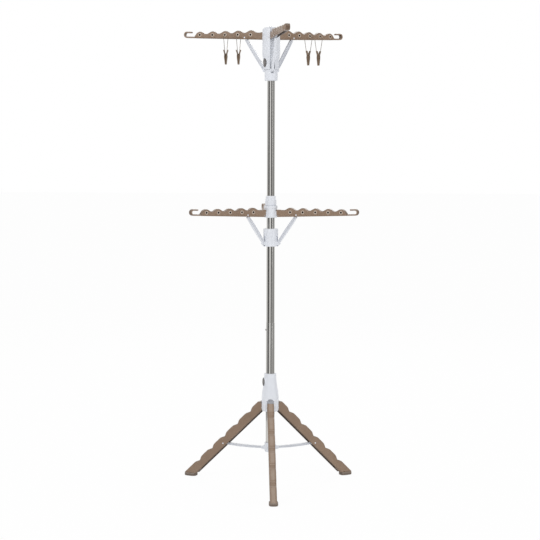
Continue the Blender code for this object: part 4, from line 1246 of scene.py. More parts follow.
@dataclass
class Head:
    """The drum on the pole's top, its runner, its seams and its release button."""

    bevel: float = 0.7 * MM
    runner_bevel: float = 0.6 * MM
    skin: tuple[tuple[float, float], ...] = (
        (26.5 * MM, 1436 * MM), (26.5 * MM, 1462 * MM), (30.1 * MM, 1484 * MM),
        (30.1 * MM, 1563 * MM),
    )
    slot_seam: Rib = field(default_factory=lambda: Rib(1.0 * MM, 0.3 * MM))
    slot_seam_turn: float = 0.5
    # painted shade in the dot's hollow, a painted highlight on its lip
    mark: Dot = Dot(
        (
            (0, -0.5, -1), (2.0, -0.5, -1), (2.0, 0.15, 0.2), (1.5, 0.25, 0.2), (1.2, -0.1, -1),
            (0, -0.1, -1),
        ),
        18,
    )
    mark_turn: float = 0.42
    button: OvalButton = field(
        default_factory=lambda: OvalButton(
            216, 1456 * MM, width=16 * MM, length=30 * MM, face=29 * MM, depth=4.6 * MM
        )
    )
    ears: Ears = field(default_factory=lambda: Ears.of_runner(Tier.TOP.value))

    def seams(self) -> Shell:
        """Mould lines up the drum, two beside each slot and one between the slots.

        Returns:
            The nine lines.
        """
        lines = []
        for side in Side:
            azimuth = side.azimuth(TOP_AZIMUTH)
            for turn in (-self.slot_seam_turn, self.slot_seam_turn):
                lines.append(self.slot_seam.along(self.skin, azimuth + turn))
            lines.append(Rib().along(self.skin, azimuth + math.radians(RING_STEP / 2)))
        return together(lines)

    def pin_marks(self) -> Shell:
        """A sunk dot on the drum at each end of each arm's hinge pin, its hollow painted dark as
        shade.
        """
        height = Tier.TOP.value.pivot_z
        return self.mark.pairs(TOP_AZIMUTH, self.mark_turn, self.skin[-1][0], height)

    def build(self, maker: Maker) -> None:
        """Makes the drum, the runner under it and the button.

        Args:
            maker: Puts them into the scene.
        """
        maker.refined("head", WHITE, "pole", self.bevel)
        maker.piece("head_seams", self.seams(), WHITE, "pole")
        maker.piece("head_pin_marks", self.pin_marks(), WHITE, "pole")
        maker.piece("head_release", self.button.shell(), BUTTON_GREY, "top_button", ("top_button",))
        maker.refined("top_runner", WHITE, "top_runner", self.runner_bevel)
        maker.piece("top_runner_pins", self.ears.shell(), WHITE, "top_runner")


@dataclass
class Arm:
    """A scalloped channel with ringed holes and a hook, in its own frame about its hinge.

    The places of the ribs are counted in pitches from the first crest. The hook's stations are
    counted from its root: up to one of them it is fitted into the channel, and from another its
    end closes.
    """

    width: float = 16 * MM
    wall: float = 1.8 * MM
    fillet: float = 2.2 * MM
    low: float = -5.5 * MM
    inner_crest: float = 25.4 * MM
    outer_crest: float = 17 * MM
    scallop: float = 8.6 * MM
    pitch: float = 47 * MM
    first: float = 46 * MM
    crests: int = 5
    root_top: float = 19.5 * MM
    root_slope_from: float = 5 * MM
    root_slope_to: float = 14 * MM
    hole: float = 3.5 * MM
    ring: float = 2.3 * MM
    ring_stand: float = 0.45 * MM
    ring_lead: float = 0.4 * MM
    tip: float = 295 * MM
    hook_top: float = 16.5 * MM
    hook_wall: float = 5.2 * MM
    hook_corner: float = 10.5 * MM
    hook_inset: float = 0.5 * MM
    hook_lap: float = 3 * MM
    hook_fit: float = 0.9
    hook_fit_from: float = 2 * MM
    hook_fit_to: float = 5 * MM
    hook_fit_last: int = 30
    hook_stations: int = 56
    hook_close_first: int = 40
    hook_blunt: float = 0.985
    mouth: float = 252 * MM
    hook_gap: float = 13 * MM
    rib_places: tuple[float, ...] = (1.5, 2.5, 3.5, 3.75, 4.15)
    full_rib_from: float = 3.4
    rib_depth: float = 2.2 * MM
    rib_foot: float = 2 * MM
    rib_sag: float = 0.25
    rib_half: float = 0.7 * MM
    rib_lap: float = 0.6
    stud_reach: float = 68 * MM
    stud_radius: float = 2.6 * MM
    stud_stand: float = 0.1 * MM
    stud_dome: float = 0.4 * MM
    tilt: float = math.radians(2.2)
    steps: int = 14
    end_steps: int = 6
    root_steps: int = 12

    @property
    def valley(self) -> float:
        """How far out the first valley lies, before the first crest."""
        return self.first - self.pitch / 2

    def upper(self, x: Array) -> Array:
        """Height of the upper edge: a tapering crest line less a cosine wave, with a root lug.

        Args:
            x: How far out along the arm.

        Returns:
            The heights.
        """
        span = self.pitch * (self.crests - 1)
        taper = self.outer_crest - self.inner_crest
        crest = self.inner_crest + taper * (x - self.first) / span
        phase = FULL_TURN * (x - self.first) / self.pitch
        wave = crest - self.scallop * (0.5 - 0.5 * np.cos(phase))
        floor = self.inner_crest - taper * self.pitch / 2 / span - self.scallop
        root = np.interp(x, [self.root_slope_from, self.root_slope_to], [self.root_top, floor])
        return np.where(x < self.valley, root, wave)

    def ridge(self) -> tuple[Array, Array]:
        """The line along the channel's upper edge and the same line drawn in by the fillet.

        Each point is drawn in square to the line there.

        Returns:
            Both as points by 2. They run from the root over the scallops to the shoulder, and
            then down the channel's end.
        """
        starts = [self.valley + self.pitch * number for number in range(self.crests)]
        shoulder = self.first + self.pitch * (self.crests - 1) + self.pitch / 4
        root = np.linspace(self.low, self.valley, self.root_steps + 1)[:-1]
        cells = [np.linspace(*ends, self.steps + 1)[:-1] for ends in zip(starts, starts[1:])]
        x = np.concatenate([root, *cells, np.linspace(starts[-1], shoulder, self.steps + 1)])
        top = np.stack([x, self.upper(x)], axis=-1)
        foot = self.mouth + self.hook_wall / 2
        down = np.array([top[-1], [foot, self.low + self.hook_wall], [foot, self.low]])
        line = np.vstack([top, evened(down, self.end_steps + 1)[1:]])
        along = np.gradient(line, axis=0)
        along /= np.linalg.norm(along, axis=1, keepdims=True)
        inner = line + self.fillet * np.stack([along[:, 1], -along[:, 0]], axis=-1)
        inner[-1] = [foot - self.fillet, self.low]
        inner[0] = [self.low, self.root_top - self.fillet]
        return line, inner

    def hole_place(self, number: int) -> tuple[float, float]:
        """Centre of a hole in the arm's side, half way up the channel at its crest."""
        x = self.first + self.pitch * number
        return x, float(self.upper(np.array(x)) + self.low) / 2

    def pierced_cell(self, number: int, top: Array, end: Array | None) -> Shell:
        """One scallop of the side: rays from the hole's edge out to the cell's outline.

        Args:
            number: Which hole, counted from the root.
            top: The cell's upper outline, from the pole outwards.
            end: The outline down its outer side, or None where it goes straight down.

        Returns:
            A sheet on the +Y side with a raised ring round the hole, painted with a highlight, and
            painted shade at the hole's edge.
        """
        rise = np.linspace(0, 1, self.end_steps + 1)[:, None]
        start = np.array([top[0, 0], self.low])
        left = top[0] + (start - top[0]) * rise
        right = end
        if right is None:
            right = top[-1] + (np.array([top[-1, 0], self.low]) - top[-1]) * rise
        foot = right[-1] + (start - right[-1]) * np.linspace(0, 1, self.steps + 1)[:, None]
        outline = np.vstack([top[:-1], right[:-1], foot[:-1], left[::-1][:-1]])
        centre = np.array(self.hole_place(number))
        ray = outline - centre
        ray /= np.linalg.norm(ray, axis=1, keepdims=True)
        inner, outer = self.hole, self.hole + self.ring
        reach = [inner, inner + self.ring_lead, outer, outer + self.ring_lead]
        stand = np.array([0, self.ring_stand, self.ring_stand, 0, 0])[:, None]
        # painted shade at the hole's edge, a painted highlight on the ring
        tones = np.array([-0.2, 1, 1, 0, 0])[:, None]
        flat = np.stack([centre + ray * radius for radius in reach] + [outline])
        side = stand + self.width / 2
        points = np.stack([flat[..., 0], side * np.ones(flat.shape[1]), flat[..., 1]], axis=-1)
        return grid(points, round_columns=True, tone=tones * np.ones(flat.shape[1]))

    def root(self, top: Array) -> Shell:
        """The side's plain root: straight rows from its lower edge up to the fillet.

        The lower edge goes round the hinge on a quarter circle, then straight out.

        Args:
            top: The root's upper outline.

        Returns:
            A sheet on the +Y side.
        """
        rise = np.linspace(0, 1, self.end_steps + 1)[::-1]
        round_end = np.sqrt(np.clip(self.low**2 - top[:, 0] ** 2, 0, None))
        foot = np.stack([top[:, 0], -np.where(top[:, 0] < 0, round_end, -self.low)], axis=-1)
        rows = foot[None] + (top - foot)[None] * rise[:, None, None]
        side = np.full(rows.shape[:2], self.width / 2)
        return grid(np.stack([rows[..., 0], side, rows[..., 1]], axis=-1))

    def channel(self) -> Shell:
        """The whole sheet: pierced sides, plain roots and the web that joins them over the top.

        The web meets each side on a quarter circle of the fillet, from the inner line to the
        upper edge.

        Returns:
            The open sheet, which is given its wall afterwards.
        """
        line, inner = self.ridge()
        cells = [self.root(inner[:self.root_steps + 1])]
        for number in range(self.crests):
            first = self.root_steps + number * self.steps
            last = first + self.steps
            end = inner[last:] if number == self.crests - 1 else None
            cells.append(self.pierced_cell(number, inner[first:last + 1], end))
        side = together(cells)

        angle = np.linspace(0, QUARTER_TURN, 5)[:, None]
        over = inner[None] + (line - inner)[None] * np.sin(angle)[..., None]
        across = self.width / 2 - self.fillet + self.fillet * np.cos(angle) * np.ones(len(line))
        edge = np.stack([over[..., 0], across, over[..., 1]], axis=-1)
        web = np.concatenate([edge, edge[::-1] * (1, -1, 1)])
        tone = np.zeros(web.shape[:2])
        # painted shade along the fillets where the web meets the sides
        tone[1:4] = tone[-4:-1] = -0.55
        return together([side, side.mirrored(), grid(web, tone=tone)])

    def hook(self) -> Shell:
        """The hook: a rounded bar carried round a J, its end closing on a quarter ellipse.

        The J is straight runs and two quarter circles. The bar's start is slightly smaller, so
        that it lies inside the channel.

        Returns:
            The bar.
        """
        half = self.hook_wall / 2
        bend = self.hook_corner - half
        centre_x = self.tip - self.hook_inset - self.hook_corner
        path = evened(np.vstack([
            [[self.mouth - self.hook_lap, self.low + half]],
            arc((centre_x, self.low + self.hook_corner), bend, -QUARTER_TURN, 0, 8),
            arc((centre_x, self.hook_top - self.hook_corner), bend, 0, QUARTER_TURN, 8),
            [[self.mouth + self.hook_gap + half, self.hook_top - half],
             [self.mouth + self.hook_gap, self.hook_top - half]],
        ]), self.hook_stations)
        station = np.arange(self.hook_stations)
        left = np.linalg.norm(path - path[-1], axis=1)
        close = np.sqrt(np.clip(1 - np.clip(1 - left / half, 0, self.hook_blunt) ** 2, 0, 1))
        close = np.where(station < self.hook_close_first, 1, close)
        fit_from, fit_to = self.mouth + self.hook_fit_from, self.mouth + self.hook_fit_to
        fit = np.interp(path[:, 0], [fit_from, fit_to], [self.hook_fit, 1.0])
        fit = np.where(station > self.hook_fit_last, 1, fit)
        section = rounded(self.width, self.hook_wall, 4.5, 28)
        sections = section[None] * (close * fit)[:, None, None]
        # painted shade on the bar's inner and outer faces, a faint painted highlight on its sides
        edge = np.abs(section[:, 1]) > 0.42 * self.hook_wall
        tone = np.where(edge, -0.65, 0.1) * np.ones((self.hook_stations, 1))
        return sweep(upright(path), SIDEWAYS, sections, tone=tone)

    def ribs(self) -> Shell:
        """Low ribs under the web at two valleys, and full cross ribs near the hook.

        The foot of a full rib is a parabola, which hangs lowest at the sides.

        Returns:
            The ribs.
        """
        lap = self.wall * self.rib_lap
        half = self.width / 2 - lap
        across = np.linspace(half, -half, 9)
        plates = []
        for place in self.rib_places:
            x = self.first + self.pitch * place
            top = float(self.upper(np.array(x))) - lap
            if place >= self.full_rib_from:
                depth = top - self.low - self.rib_foot
                sag = depth * (1 - self.rib_sag * (1 - (across / half) ** 2))
            else:
                sag = np.full(len(across), self.rib_depth)
            foot = np.stack([across, top - sag], axis=-1)
            plates.append(plate(x, self.rib_half, np.vstack([foot, [[-half, top], [half, top]]])))
        return together(plates)

    def stud(self) -> Shell:
        """The stud that a strut hangs on, a domed pin through the channel."""
        half = self.width / 2 + self.stud_stand
        return cross_disc(self.stud_radius, half, self.stud_dome).moved(x=self.stud_reach)

    def build(self, maker: Maker, tier: TierPlace) -> None:
        """Makes the three arms of a tier with their studs.

        Args:
            maker: Puts them into the scene.
            tier: Where they hinge.
        """
        for side, azimuth in tier.places():
            place = about_pole(azimuth, tier.pivot_radius, tier.pivot_z, -self.tilt)
            name = f"{side}_{tier.name}"
            body, stud = f"{name}_arm", f"{name}_stud"
            channel = self.channel().placed(place)
            maker.piece(f"{name}_channel", channel, TAN, body, (body,), wall=self.wall)
            maker.piece(f"{name}_hook_bar", self.hook().placed(place), TAN, body)
            maker.piece(f"{name}_ribs", self.ribs().placed(place), TAN_IN_SHADE, body)
            maker.piece(f"{stud}_dome", self.stud().placed(place), WHITE, body, (stud,))


@dataclass
class Link:
    """A flat moulded link between two pins, with a sunk web between raised edges."""

    length: float
    end_radius: float
    half_height: float
    sag: float
    open_end: bool
    width: float = 8 * MM
    flange: float = 1.5 * MM
    flange_share: float = 0.25
    web: float = 4.4 * MM
    web_lead: float = 2 * MM
    # painted shade in the sunk web
    web_shade: float = -0.25
    far_eye: float = 1.4
    soft_edge: float = 0.7 * MM
    soft_share: float = 0.2
    stations: int = 48
    eye: float = 2.9 * MM
    notch: float = 9 * MM
    notch_share: float = 0.8
    notch_step: float = 0.02 * MM

    @property
    def step(self) -> float:
        """How far along the open end's lower side is cut back to the half eye."""
        return self.length - self.notch * self.notch_share

    def edges(self, x: Array) -> tuple[Array, Array]:
        """Upper and lower edge: a bow of a sine between the ends, each end a half circle.

        Args:
            x: How far along the link.

        Returns:
            The heights of both edges. Past an open end's step the lower one is the eye's circle.
        """
        bow = np.sin(math.pi * np.clip(x / self.length, 0, 1))
        half = self.end_radius + (self.half_height - self.end_radius) * bow
        near = np.sqrt(np.clip(self.end_radius**2 - np.clip(-x, 0, None) ** 2, 0, None))
        far = np.sqrt(np.clip(self.end_radius**2 - np.clip(x - self.length, 0, None) ** 2, 0, None))
        half = np.where(x < 0, near, np.where(x > self.length, far, half))
        middle = -self.sag * bow
        lower = middle - half
        if self.open_end:
            arch = np.sqrt(np.clip(self.eye**2 - (x - self.length) ** 2, 0, None))
            lower = np.where(x > self.step, arch, lower)
            lower = np.minimum(lower, middle + half)
        return middle + half, lower

    def shell(self) -> Shell:
        """Stations along the link, each an I of two flanges and a web that closes at the eyes.

        The I's outer corners are cut off by a share of the soft edge. Where the link is low, its
        flanges and its soft edge are shares of its height.

        Returns:
            The link in its own frame, from its first pin at the origin along X.
        """
        ends = self.end_radius * (1 - np.cos(np.linspace(0, 1, 9) * QUARTER_TURN))
        body = np.linspace(0, self.length, self.stations)[1:-1]
        if self.open_end:
            sides = [self.step - self.notch_step, self.step + self.notch_step]
            body = np.sort(np.append(body, sides))
        far = self.length + self.end_radius - ends[::-1]
        x = np.concatenate([-self.end_radius + ends, body, far])
        upper, lower = self.edges(x)
        room = upper - lower
        flange = np.minimum(self.flange, room * self.flange_share)
        clear = np.minimum(x - self.end_radius, self.length - self.end_radius * self.far_eye - x)
        if self.open_end:
            clear = np.minimum(clear, self.length - self.notch - x)
        open_web = np.clip(clear / self.web_lead, 0, 1)
        half = self.width / 2
        deep = half - (self.width - self.web) / 2 * open_web
        soft = np.minimum(self.soft_edge, room * self.soft_share)
        wide, cut = np.full_like(x, half), soft * 0.7
        rows = [
            (half - cut, upper), (wide, upper - cut), (wide, upper - flange),
            (deep, upper - flange - 0.5 * soft), (deep, lower + flange + 0.5 * soft),
            (wide, lower + flange), (wide, lower + cut), (half - cut, lower),
        ]
        rows += [(-across, height) for across, height in rows[::-1]]
        rings = np.stack([np.stack([x, *row], axis=-1) for row in rows], axis=1)
        tone = np.zeros(rings.shape[:2])
        web_rows = [3, 4, 11, 12]
        # painted shade in the sunk web, fading out near the eyes
        tone[:, web_rows] = self.web_shade * open_web[:, None]
        return loft(rings, tone)


@dataclass
class Props:
    """The struts under the arms and the braces between the pole's foot and the legs."""

    strut_end: float = 4.5 * MM
    strut_half: float = 6.3 * MM
    brace_end: float = 3.6 * MM
    brace_half: float = 4.4 * MM
    brace_sag: float = 2 * MM
    brace_flange: float = 1.2 * MM
    pin_inset: float = 0.1 * MM
    pin_dome: float = 0.3 * MM
    rib_span: tuple[float, float] = (0.72, 0.92)
    rib_count: int = 5
    rib_half: float = 0.6 * MM
    rib_inset: float = 0.3 * MM

    def struts(self, maker: Maker, arm: Arm, tier: TierPlace) -> None:
        """Makes a tier's struts, from the runner's pivots to the studs in the arms.

        Args:
            maker: Puts them into the scene.
            arm: Holds the studs.
            tier: Where its arms hinge and its struts stand.
        """
        run = tier.pivot_radius - tier.runner_radius + arm.stud_reach * math.cos(arm.tilt)
        rise = tier.pivot_z - tier.runner_z + arm.stud_reach * math.sin(arm.tilt)
        link = Link(math.hypot(run, rise), self.strut_end, self.strut_half, 0, True)
        eye = cross_disc(link.eye, link.width / 2 - self.pin_inset, self.pin_dome)
        for side, azimuth in tier.places():
            place = about_pole(azimuth, tier.runner_radius, tier.runner_z, -math.atan2(rise, run))
            node = f"{side}_{tier.name}_strut"
            maker.piece(f"{node}_link", (link.shell() + eye).placed(place), WHITE, node, (node,))

    def braces(self, maker: Maker, leg: "Leg", cup: Ears) -> None:
        """Makes the braces, from the cup's pivots to the studs in the legs.

        Args:
            maker: Puts them into the scene.
            leg: Holds the studs.
            cup: The pivots on the pole's foot.
        """
        hinge = about_pole(0, leg.pivot_radius, leg.pivot_z, leg.slope)
        stud = hinge @ Vector((leg.stud_reach, 0, leg.stud_rise))
        run, drop = stud.x - cup.radius, cup.height - stud.z
        link = Link(math.hypot(run, drop), self.brace_end, self.brace_half, self.brace_sag, False,
                    flange=self.brace_flange)
        shell = together([link.shell(), *self._brace_ribs(link)])
        pitch = math.atan2(drop, run)
        for side in Side:
            place = about_pole(side.azimuth(cup.azimuth), cup.radius, cup.height, pitch)
            node = f"{side.name.lower()}_brace"
            maker.piece(f"{node}_link", shell.placed(place), WHITE, node, (node,))

    def _brace_ribs(self, link: Link) -> list[Shell]:
        """Cross ribs in the outer part of a brace's web, each a plate of a rounded outline.

        Args:
            link: The brace.

        Returns:
            The ribs.
        """
        ribs = []
        for share in np.linspace(*self.rib_span, self.rib_count):
            x = link.length * share
            upper, lower = (float(height[0]) for height in link.edges(np.array([x])))
            width = 2 * (link.width / 2 - self.pin_inset)
            loop = rounded(width, upper - lower - self.rib_inset, 6.0, 16)
            loop[:, 1] += (upper + lower) / 2
            ribs.append(plate(x, self.rib_half, loop))
        return ribs


@dataclass
class Leg:
    """A notched channel from the base hub down to its rubber pad, in its own frame."""

    pivot_radius: float = 24 * MM
    pivot_z: float = 270.3 * MM
    width: float = 23 * MM
    wall: float = 1.8 * MM
    fillet: float = 2.6 * MM
    low: float = -6 * MM
    crest: float = 26.5 * MM
    crown_drop: float = 0.25 * MM
    crown_share: float = 0.45
    # painted highlight on the crests' faces
    crest_highlight: float = 0.175
    notch: float = 7 * MM
    notch_power: int = 4
    pitch: float = 70 * MM
    first: float = 50 * MM
    notches: int = 5
    corner: float = 9 * MM
    rib_lean: float = 9 * MM
    rib_width: float = 1.6 * MM
    rib_height: float = 1.0 * MM
    rib_sink: float = 0.1 * MM
    stud_reach: float = 211.5 * MM
    stud_rise: float = 4.7 * MM
    stud_radius: float = 2.6 * MM
    stud_half: float = 3.6 * MM
    stud_inner: float = 4.6 * MM
    stud_dome: float = 0.3 * MM
    drop: float = 259 * MM
    foot_reach: float = 341 * MM
    foot_lead: float = 40.5 * MM
    foot_length: float = 45 * MM
    foot_width: float = 31 * MM
    foot_height: float = 11 * MM
    tongue_rise: float = 16.5 * MM
    tongue_play: float = 0.8 * MM
    tongue_length: float = 24 * MM
    tongue_lap: float = 1 * MM
    columns: int = 110

    @property
    def slope(self) -> float:
        """Its slope below the horizontal, in radians."""
        return math.atan2(self.drop, self.foot_reach - self.foot_lead - self.pivot_radius)

    def edge(self, x: Array) -> Array:
        """Height of the upper edge: broad crests and narrow notches, a power of a cosine.

        Args:
            x: How far out along the leg.

        Returns:
            The heights, plain past the last notch.
        """
        wave = (0.5 + 0.5 * np.cos(FULL_TURN * (x - self.first) / self.pitch)) ** self.notch_power
        past = x > self.first + self.pitch * (self.notches - 0.5)
        return np.where(past, self.crest, self.crest - self.notch * wave)

    def end(self, rise: Array) -> Array:
        """How far out the leg meets the pad's level plane at a height above the pivot line."""
        return (self.drop + rise * math.cos(self.slope)) / math.sin(self.slope)

    def channel(self) -> Shell:
        """Rows from the lower edge up one side, over the web and down the other side.

        At the hinge the side's upper corner is a quarter circle and its lower edge goes round
        the pivot on another. Each long upper edge is a quarter circle of the fillet. The rows end
        where they meet the pad's plane.

        Returns:
            The open sheet, which is given its wall afterwards.
        """
        far = self.end(np.array(self.crest))
        x = self.low + np.linspace(0, 1, self.columns) * (far - self.low)
        near = np.clip(x - self.low, 0, self.corner)
        rounding = np.sqrt(np.clip(self.corner**2 - (self.corner - near) ** 2, 0, None))
        top = self.edge(x) - self.corner + rounding
        bend = np.where(x < 0, np.sqrt(np.clip(self.low**2 - x**2, 0, None)), -self.low)
        half, flat = self.width / 2, np.ones_like(x)
        rows, tones = [], []
        for climb in np.linspace(0, 1, 7):
            rows.append((half * flat, -bend + (top - self.fillet + bend) * climb))
            # painted shade along the lower edge
            tones.append(-0.35 if climb == 0 else 0.0)
        for turn in np.linspace(0, QUARTER_TURN, 5)[1:]:
            across = half - self.fillet + self.fillet * math.cos(turn)
            rows.append((across * flat, top - self.fillet + self.fillet * math.sin(turn)))
            # painted shade on the fillets
            tones.append(-0.3)
        rows.append(((half - self.fillet) * self.crown_share * flat, top - self.crown_drop))
        # a faint painted highlight along the crown
        tones.append(0.05)
        rows += [(-across, height) for across, height in rows[::-1]]
        tones += tones[::-1]
        sheet = np.stack([
            np.stack([np.minimum(x, self.end(height)), across, height], axis=-1)
            for across, height in rows
        ])
        # painted highlight on the crests, away from the fillets
        crests = (self.crest - self.edge(x)) / self.notch < 0.15
        face = np.abs(sheet[..., 1]) < half - self.fillet / 2
        return grid(sheet, tone=np.array(tones)[:, None] + self.crest_highlight * crests * face)

    def ribs(self) -> Shell:
        """Low cross ribs on the leg's face, one on each side of a notch.

        Returns:
            The ribs, each a rounded section carried straight across.
        """
        half = self.width / 2 - self.fillet
        across = np.linspace(half, -half, 9)
        section = rounded(self.rib_width, self.rib_height, 2.5, 10)
        # painted highlight along the ribs
        tone = np.full((len(across), len(section)), 0.5)
        bars = []
        for number in range(self.notches):
            for lean in (-self.rib_lean, self.rib_lean):
                x = self.first + self.pitch * number + lean
                height = float(self.edge(np.array(x))) - self.rib_sink
                path = [np.full_like(across, x), across, np.full_like(across, height)]
                bars.append(sweep(np.stack(path, axis=-1), OUTWARD, section, tone=tone))
        return together(bars)

    def studs(self) -> tuple[Shell, Shell]:
        """The two half studs that a brace turns between, one in each side of the channel.

        Returns:
            The stud on the +Y side and the one on the other side.
        """
        pin = cross_disc(self.stud_radius, self.stud_half, self.stud_dome)
        near = pin.moved(self.stud_reach, self.stud_inner + self.stud_half, self.stud_rise)
        return near, near.mirrored()

    def pad(self) -> Shell:
        """The pad: a rounded oblong, |x|^3.4 + |y|^3.4 = 1, drawn in by a table of its height.

        Returns:
            The pad on the floor, out along X.
        """
        share = np.array([0, 0.06, 0.2, 0.32, 0.4, 0.48, 0.62, 0.85, 0.97, 1.0])
        inset = np.array([1.4, 0.5, 0.2, 0.1, 0.9, 0.1, 0.1, 0.4, 1.4, 2.6]) * MM
        # painted shade at the floor and in the groove, painted highlights on the groove's lips and
        # the upper rim
        tone = np.array([-0.6, -0.3, 0, 0.2, -1, 0.2, 0, 0.3, 0.5, 0.1])[:, None]
        section = rounded(1, 1, 3.4, 56)
        middle = self.foot_reach - self.foot_length / 2
        rings = np.stack([
            np.stack([
                middle + section[:, 0] * (self.foot_length - 2 * cut),
                section[:, 1] * (self.foot_width - 2 * cut),
                np.full(len(section), self.foot_height * height),
            ], axis=-1)
            for height, cut in zip(share, inset)
        ])
        return loft(rings, tone * np.ones(len(section)))

    def plug(self) -> Shell:
        """The pad's tongue inside the leg's end, a rounded block cut along the pad's plane.

        Returns:
            The tongue, in the leg's frame.
        """
        high, low = self.low + self.tongue_rise, self.low + self.wall
        section = rounded(high - low, self.width - 2 * self.wall - self.tongue_play, 6.0, 24)
        height = section[:, 0] + (high + low) / 2
        return loft(np.stack([
            np.stack([self.end(height) - inset, section[:, 1], height], axis=-1)
            for inset in (self.tongue_length, self.tongue_lap, -self.tongue_lap)
        ]))

    def build(self, maker: Maker) -> None:
        """Makes the three legs with their studs and pads.

        Args:
            maker: Puts them into the scene.
        """
        for side in Side:
            azimuth = side.azimuth(LEG_AZIMUTH)
            place = about_pole(azimuth, self.pivot_radius, self.pivot_z, self.slope)
            name = side.name.lower()
            body = f"{name}_leg"
            channel = self.channel().placed(place)
            maker.piece(f"{body}_channel", channel, TAN, body, (body,), wall=self.wall)
            maker.piece(f"{body}_ribs", self.ribs().placed(place), TAN, body)
            for label, shell in zip(("near", "far"), self.studs()):
                node = f"{name}_{label}_brace_stud"
                maker.piece(f"{node}_dome", shell.placed(place), WHITE, body, (node,))
            pad = self.pad().placed(about_pole(azimuth)) + self.plug().placed(place)
            maker.piece(f"{name}_foot_pad", pad, PAD, body, (f"{name}_foot",))


@dataclass
class Clip:
    """A clothes clip: a wire bail, two moulded jaws on its foot and a coiled spring.

    Each of the jaw's rows is how far out the middle of its thickness lies, its height above the
    hinge and its thickness, all in millimetres, and its width as a share of the jaw's.
    """

    number: int
    side: str
    crest: int
    wire: float = 0.9 * MM
    play: float = 0.3 * MM
    top_half: float = 19 * MM
    foot_half: float = 6.8 * MM
    drop: float = 64 * MM
    shoulder: float = 14 * MM
    shoulder_run: float = 2 * MM
    shoulder_step: float = 0.4 * MM
    bend: float = 3 * MM
    bail_stations: int = 120
    coils: int = 4
    coil_stations: int = 24
    coil_radius: float = 2.1 * MM
    coil_half: float = 2.2 * MM
    coil_wire: float = 0.38 * MM
    jaw_width: float = 10 * MM
    jaw_rows: tuple[tuple[float, float, float, float], ...] = (
        (8.0, 15.6, 1.9, 0.86), (6.4, 11, 2.5, 1), (4.6, 6, 2.7, 0.95), (3.2, 1.5, 3.1, 0.92),
        (2.9, -2, 4.2, 0.96), (2.9, -8.5, 4.9, 1), (2.6, -14, 4.3, 0.96), (2.0, -22, 3.2, 0.9),
        (1.75, -28, 2.7, 0.84), (1.5, -34.6, 2.1, 0.7),
    )
    jaw_stations: int = 64
    grip_stand: float = 0.3 * MM
    grip_waves: float = 130
    grip_span: tuple[float, float] = (0.03, 0.27)
    tooth_stand: float = 0.15 * MM
    tooth_waves: float = 160
    teeth_from: float = 0.8

    def place(self, arm: Arm, tier: TierPlace) -> Matrix:
        """The frame of the bail's top bar in the hole of its arm, hanging straight down.

        Args:
            arm: Holds the clip.
            tier: Where the arm hinges.

        Returns:
            The frame, in the model.
        """
        azimuth = dict(tier.places())[self.side]
        x, z = arm.hole_place(self.crest)
        rest = z - arm.hole + self.wire + self.play
        hinge = about_pole(azimuth, tier.pivot_radius, tier.pivot_z, -arm.tilt)
        return hinge @ Matrix.Translation((x, 0, rest)) @ Matrix.Rotation(arm.tilt, 4, "Y")

    def bail(self) -> Shell:
        """A round wire carried round a tapered loop: straight runs with an arc at each corner.

        Returns:
            The wire, with its top bar at the origin.
        """
        slope = math.atan2(self.drop - self.shoulder, self.top_half - self.foot_half)
        top, foot = self.top_half, self.foot_half
        half = np.vstack([
            arc((top - self.bend, -self.bend), self.bend, QUARTER_TURN, 0, 8),
            [[top, -self.shoulder + self.shoulder_run], [top - self.shoulder_step, -self.shoulder]],
            arc((foot - self.bend / 2, self.bend - self.drop), self.bend, QUARTER_TURN - slope,
                -QUARTER_TURN, 8),
        ])
        other = half[::-1] * (-1, 1)
        loop = evened(np.vstack([half, other, half[:1]]), self.bail_stations + 1)[:-1]
        path = np.stack([np.zeros(len(loop)), loop[:, 0], loop[:, 1]], axis=-1)
        return sweep(path, OUTWARD, rounded(2 * self.wire, 2 * self.wire, 2.0, 12), closed=True)

    def spring(self) -> Shell:
        """A coil round the hinge: a fine wire whose centre goes round the axis as it goes along.

        Returns:
            The coil, along Y.
        """
        angle = np.linspace(0, FULL_TURN * self.coils, self.coil_stations * self.coils)
        along = np.linspace(-self.coil_half, self.coil_half, len(angle))
        out = np.stack([np.cos(angle), np.zeros_like(angle), np.sin(angle)], axis=-1)
        centre = self.coil_radius * out + along[:, None] * SIDEWAYS
        section = rounded(2 * self.coil_wire, 2 * self.coil_wire, 2.0, 8)
        return loft(centre[:, None] + section[:, :1] * out[:, None] + section[:, 1:] * SIDEWAYS)

    def jaw(self) -> Shell:
        """One jaw: a finger that leans out and a solid wedge below it, with grip waves and ribs.

        A running mean rounds the line through the jaw's rows. The grip and the teeth are sine
        waves of the way along, on the outer face.

        Returns:
            The jaw, in the hinge's frame.
        """
        rows = evened(np.array(self.jaw_rows), self.jaw_stations)
        kernel = np.array([1, 2, 3, 2, 1]) / 9
        padded = np.pad(rows, ((2, 2), (0, 0)), mode="edge")
        smooth = np.stack([np.convolve(padded[:, k], kernel, "valid") for k in range(4)], axis=-1)
        smooth[[0, -1]] = np.array(self.jaw_rows)[[0, -1]]
        share = np.linspace(0, 1, self.jaw_stations)
        section = rounded(1, 1, 4.0, 20)
        sizes = np.stack([self.jaw_width * smooth[:, 3], smooth[:, 2] * MM], axis=-1)
        sections = section[None] * sizes[:, None]
        gripped = (share > self.grip_span[0]) & (share < self.grip_span[1])
        grip = self.grip_stand * np.sin(share * self.grip_waves) * gripped
        teeth = self.tooth_stand * np.sin(share * self.tooth_waves) * (share > self.teeth_from)
        sections[..., 1] += (grip + teeth)[:, None] * (section[:, 1] < -0.3)
        # painted highlight on the finger and the tip, painted shade at the hinge under the spring
        tone = np.interp(share, [0, 0.28, 0.32, 0.8, 1], [0.35, 0.3, -0.3, 0.1, 0.3])[:, None]
        path = upright(smooth[:, :2] * MM)
        return sweep(path, SIDEWAYS, sections, tone=tone * np.ones(len(section)))

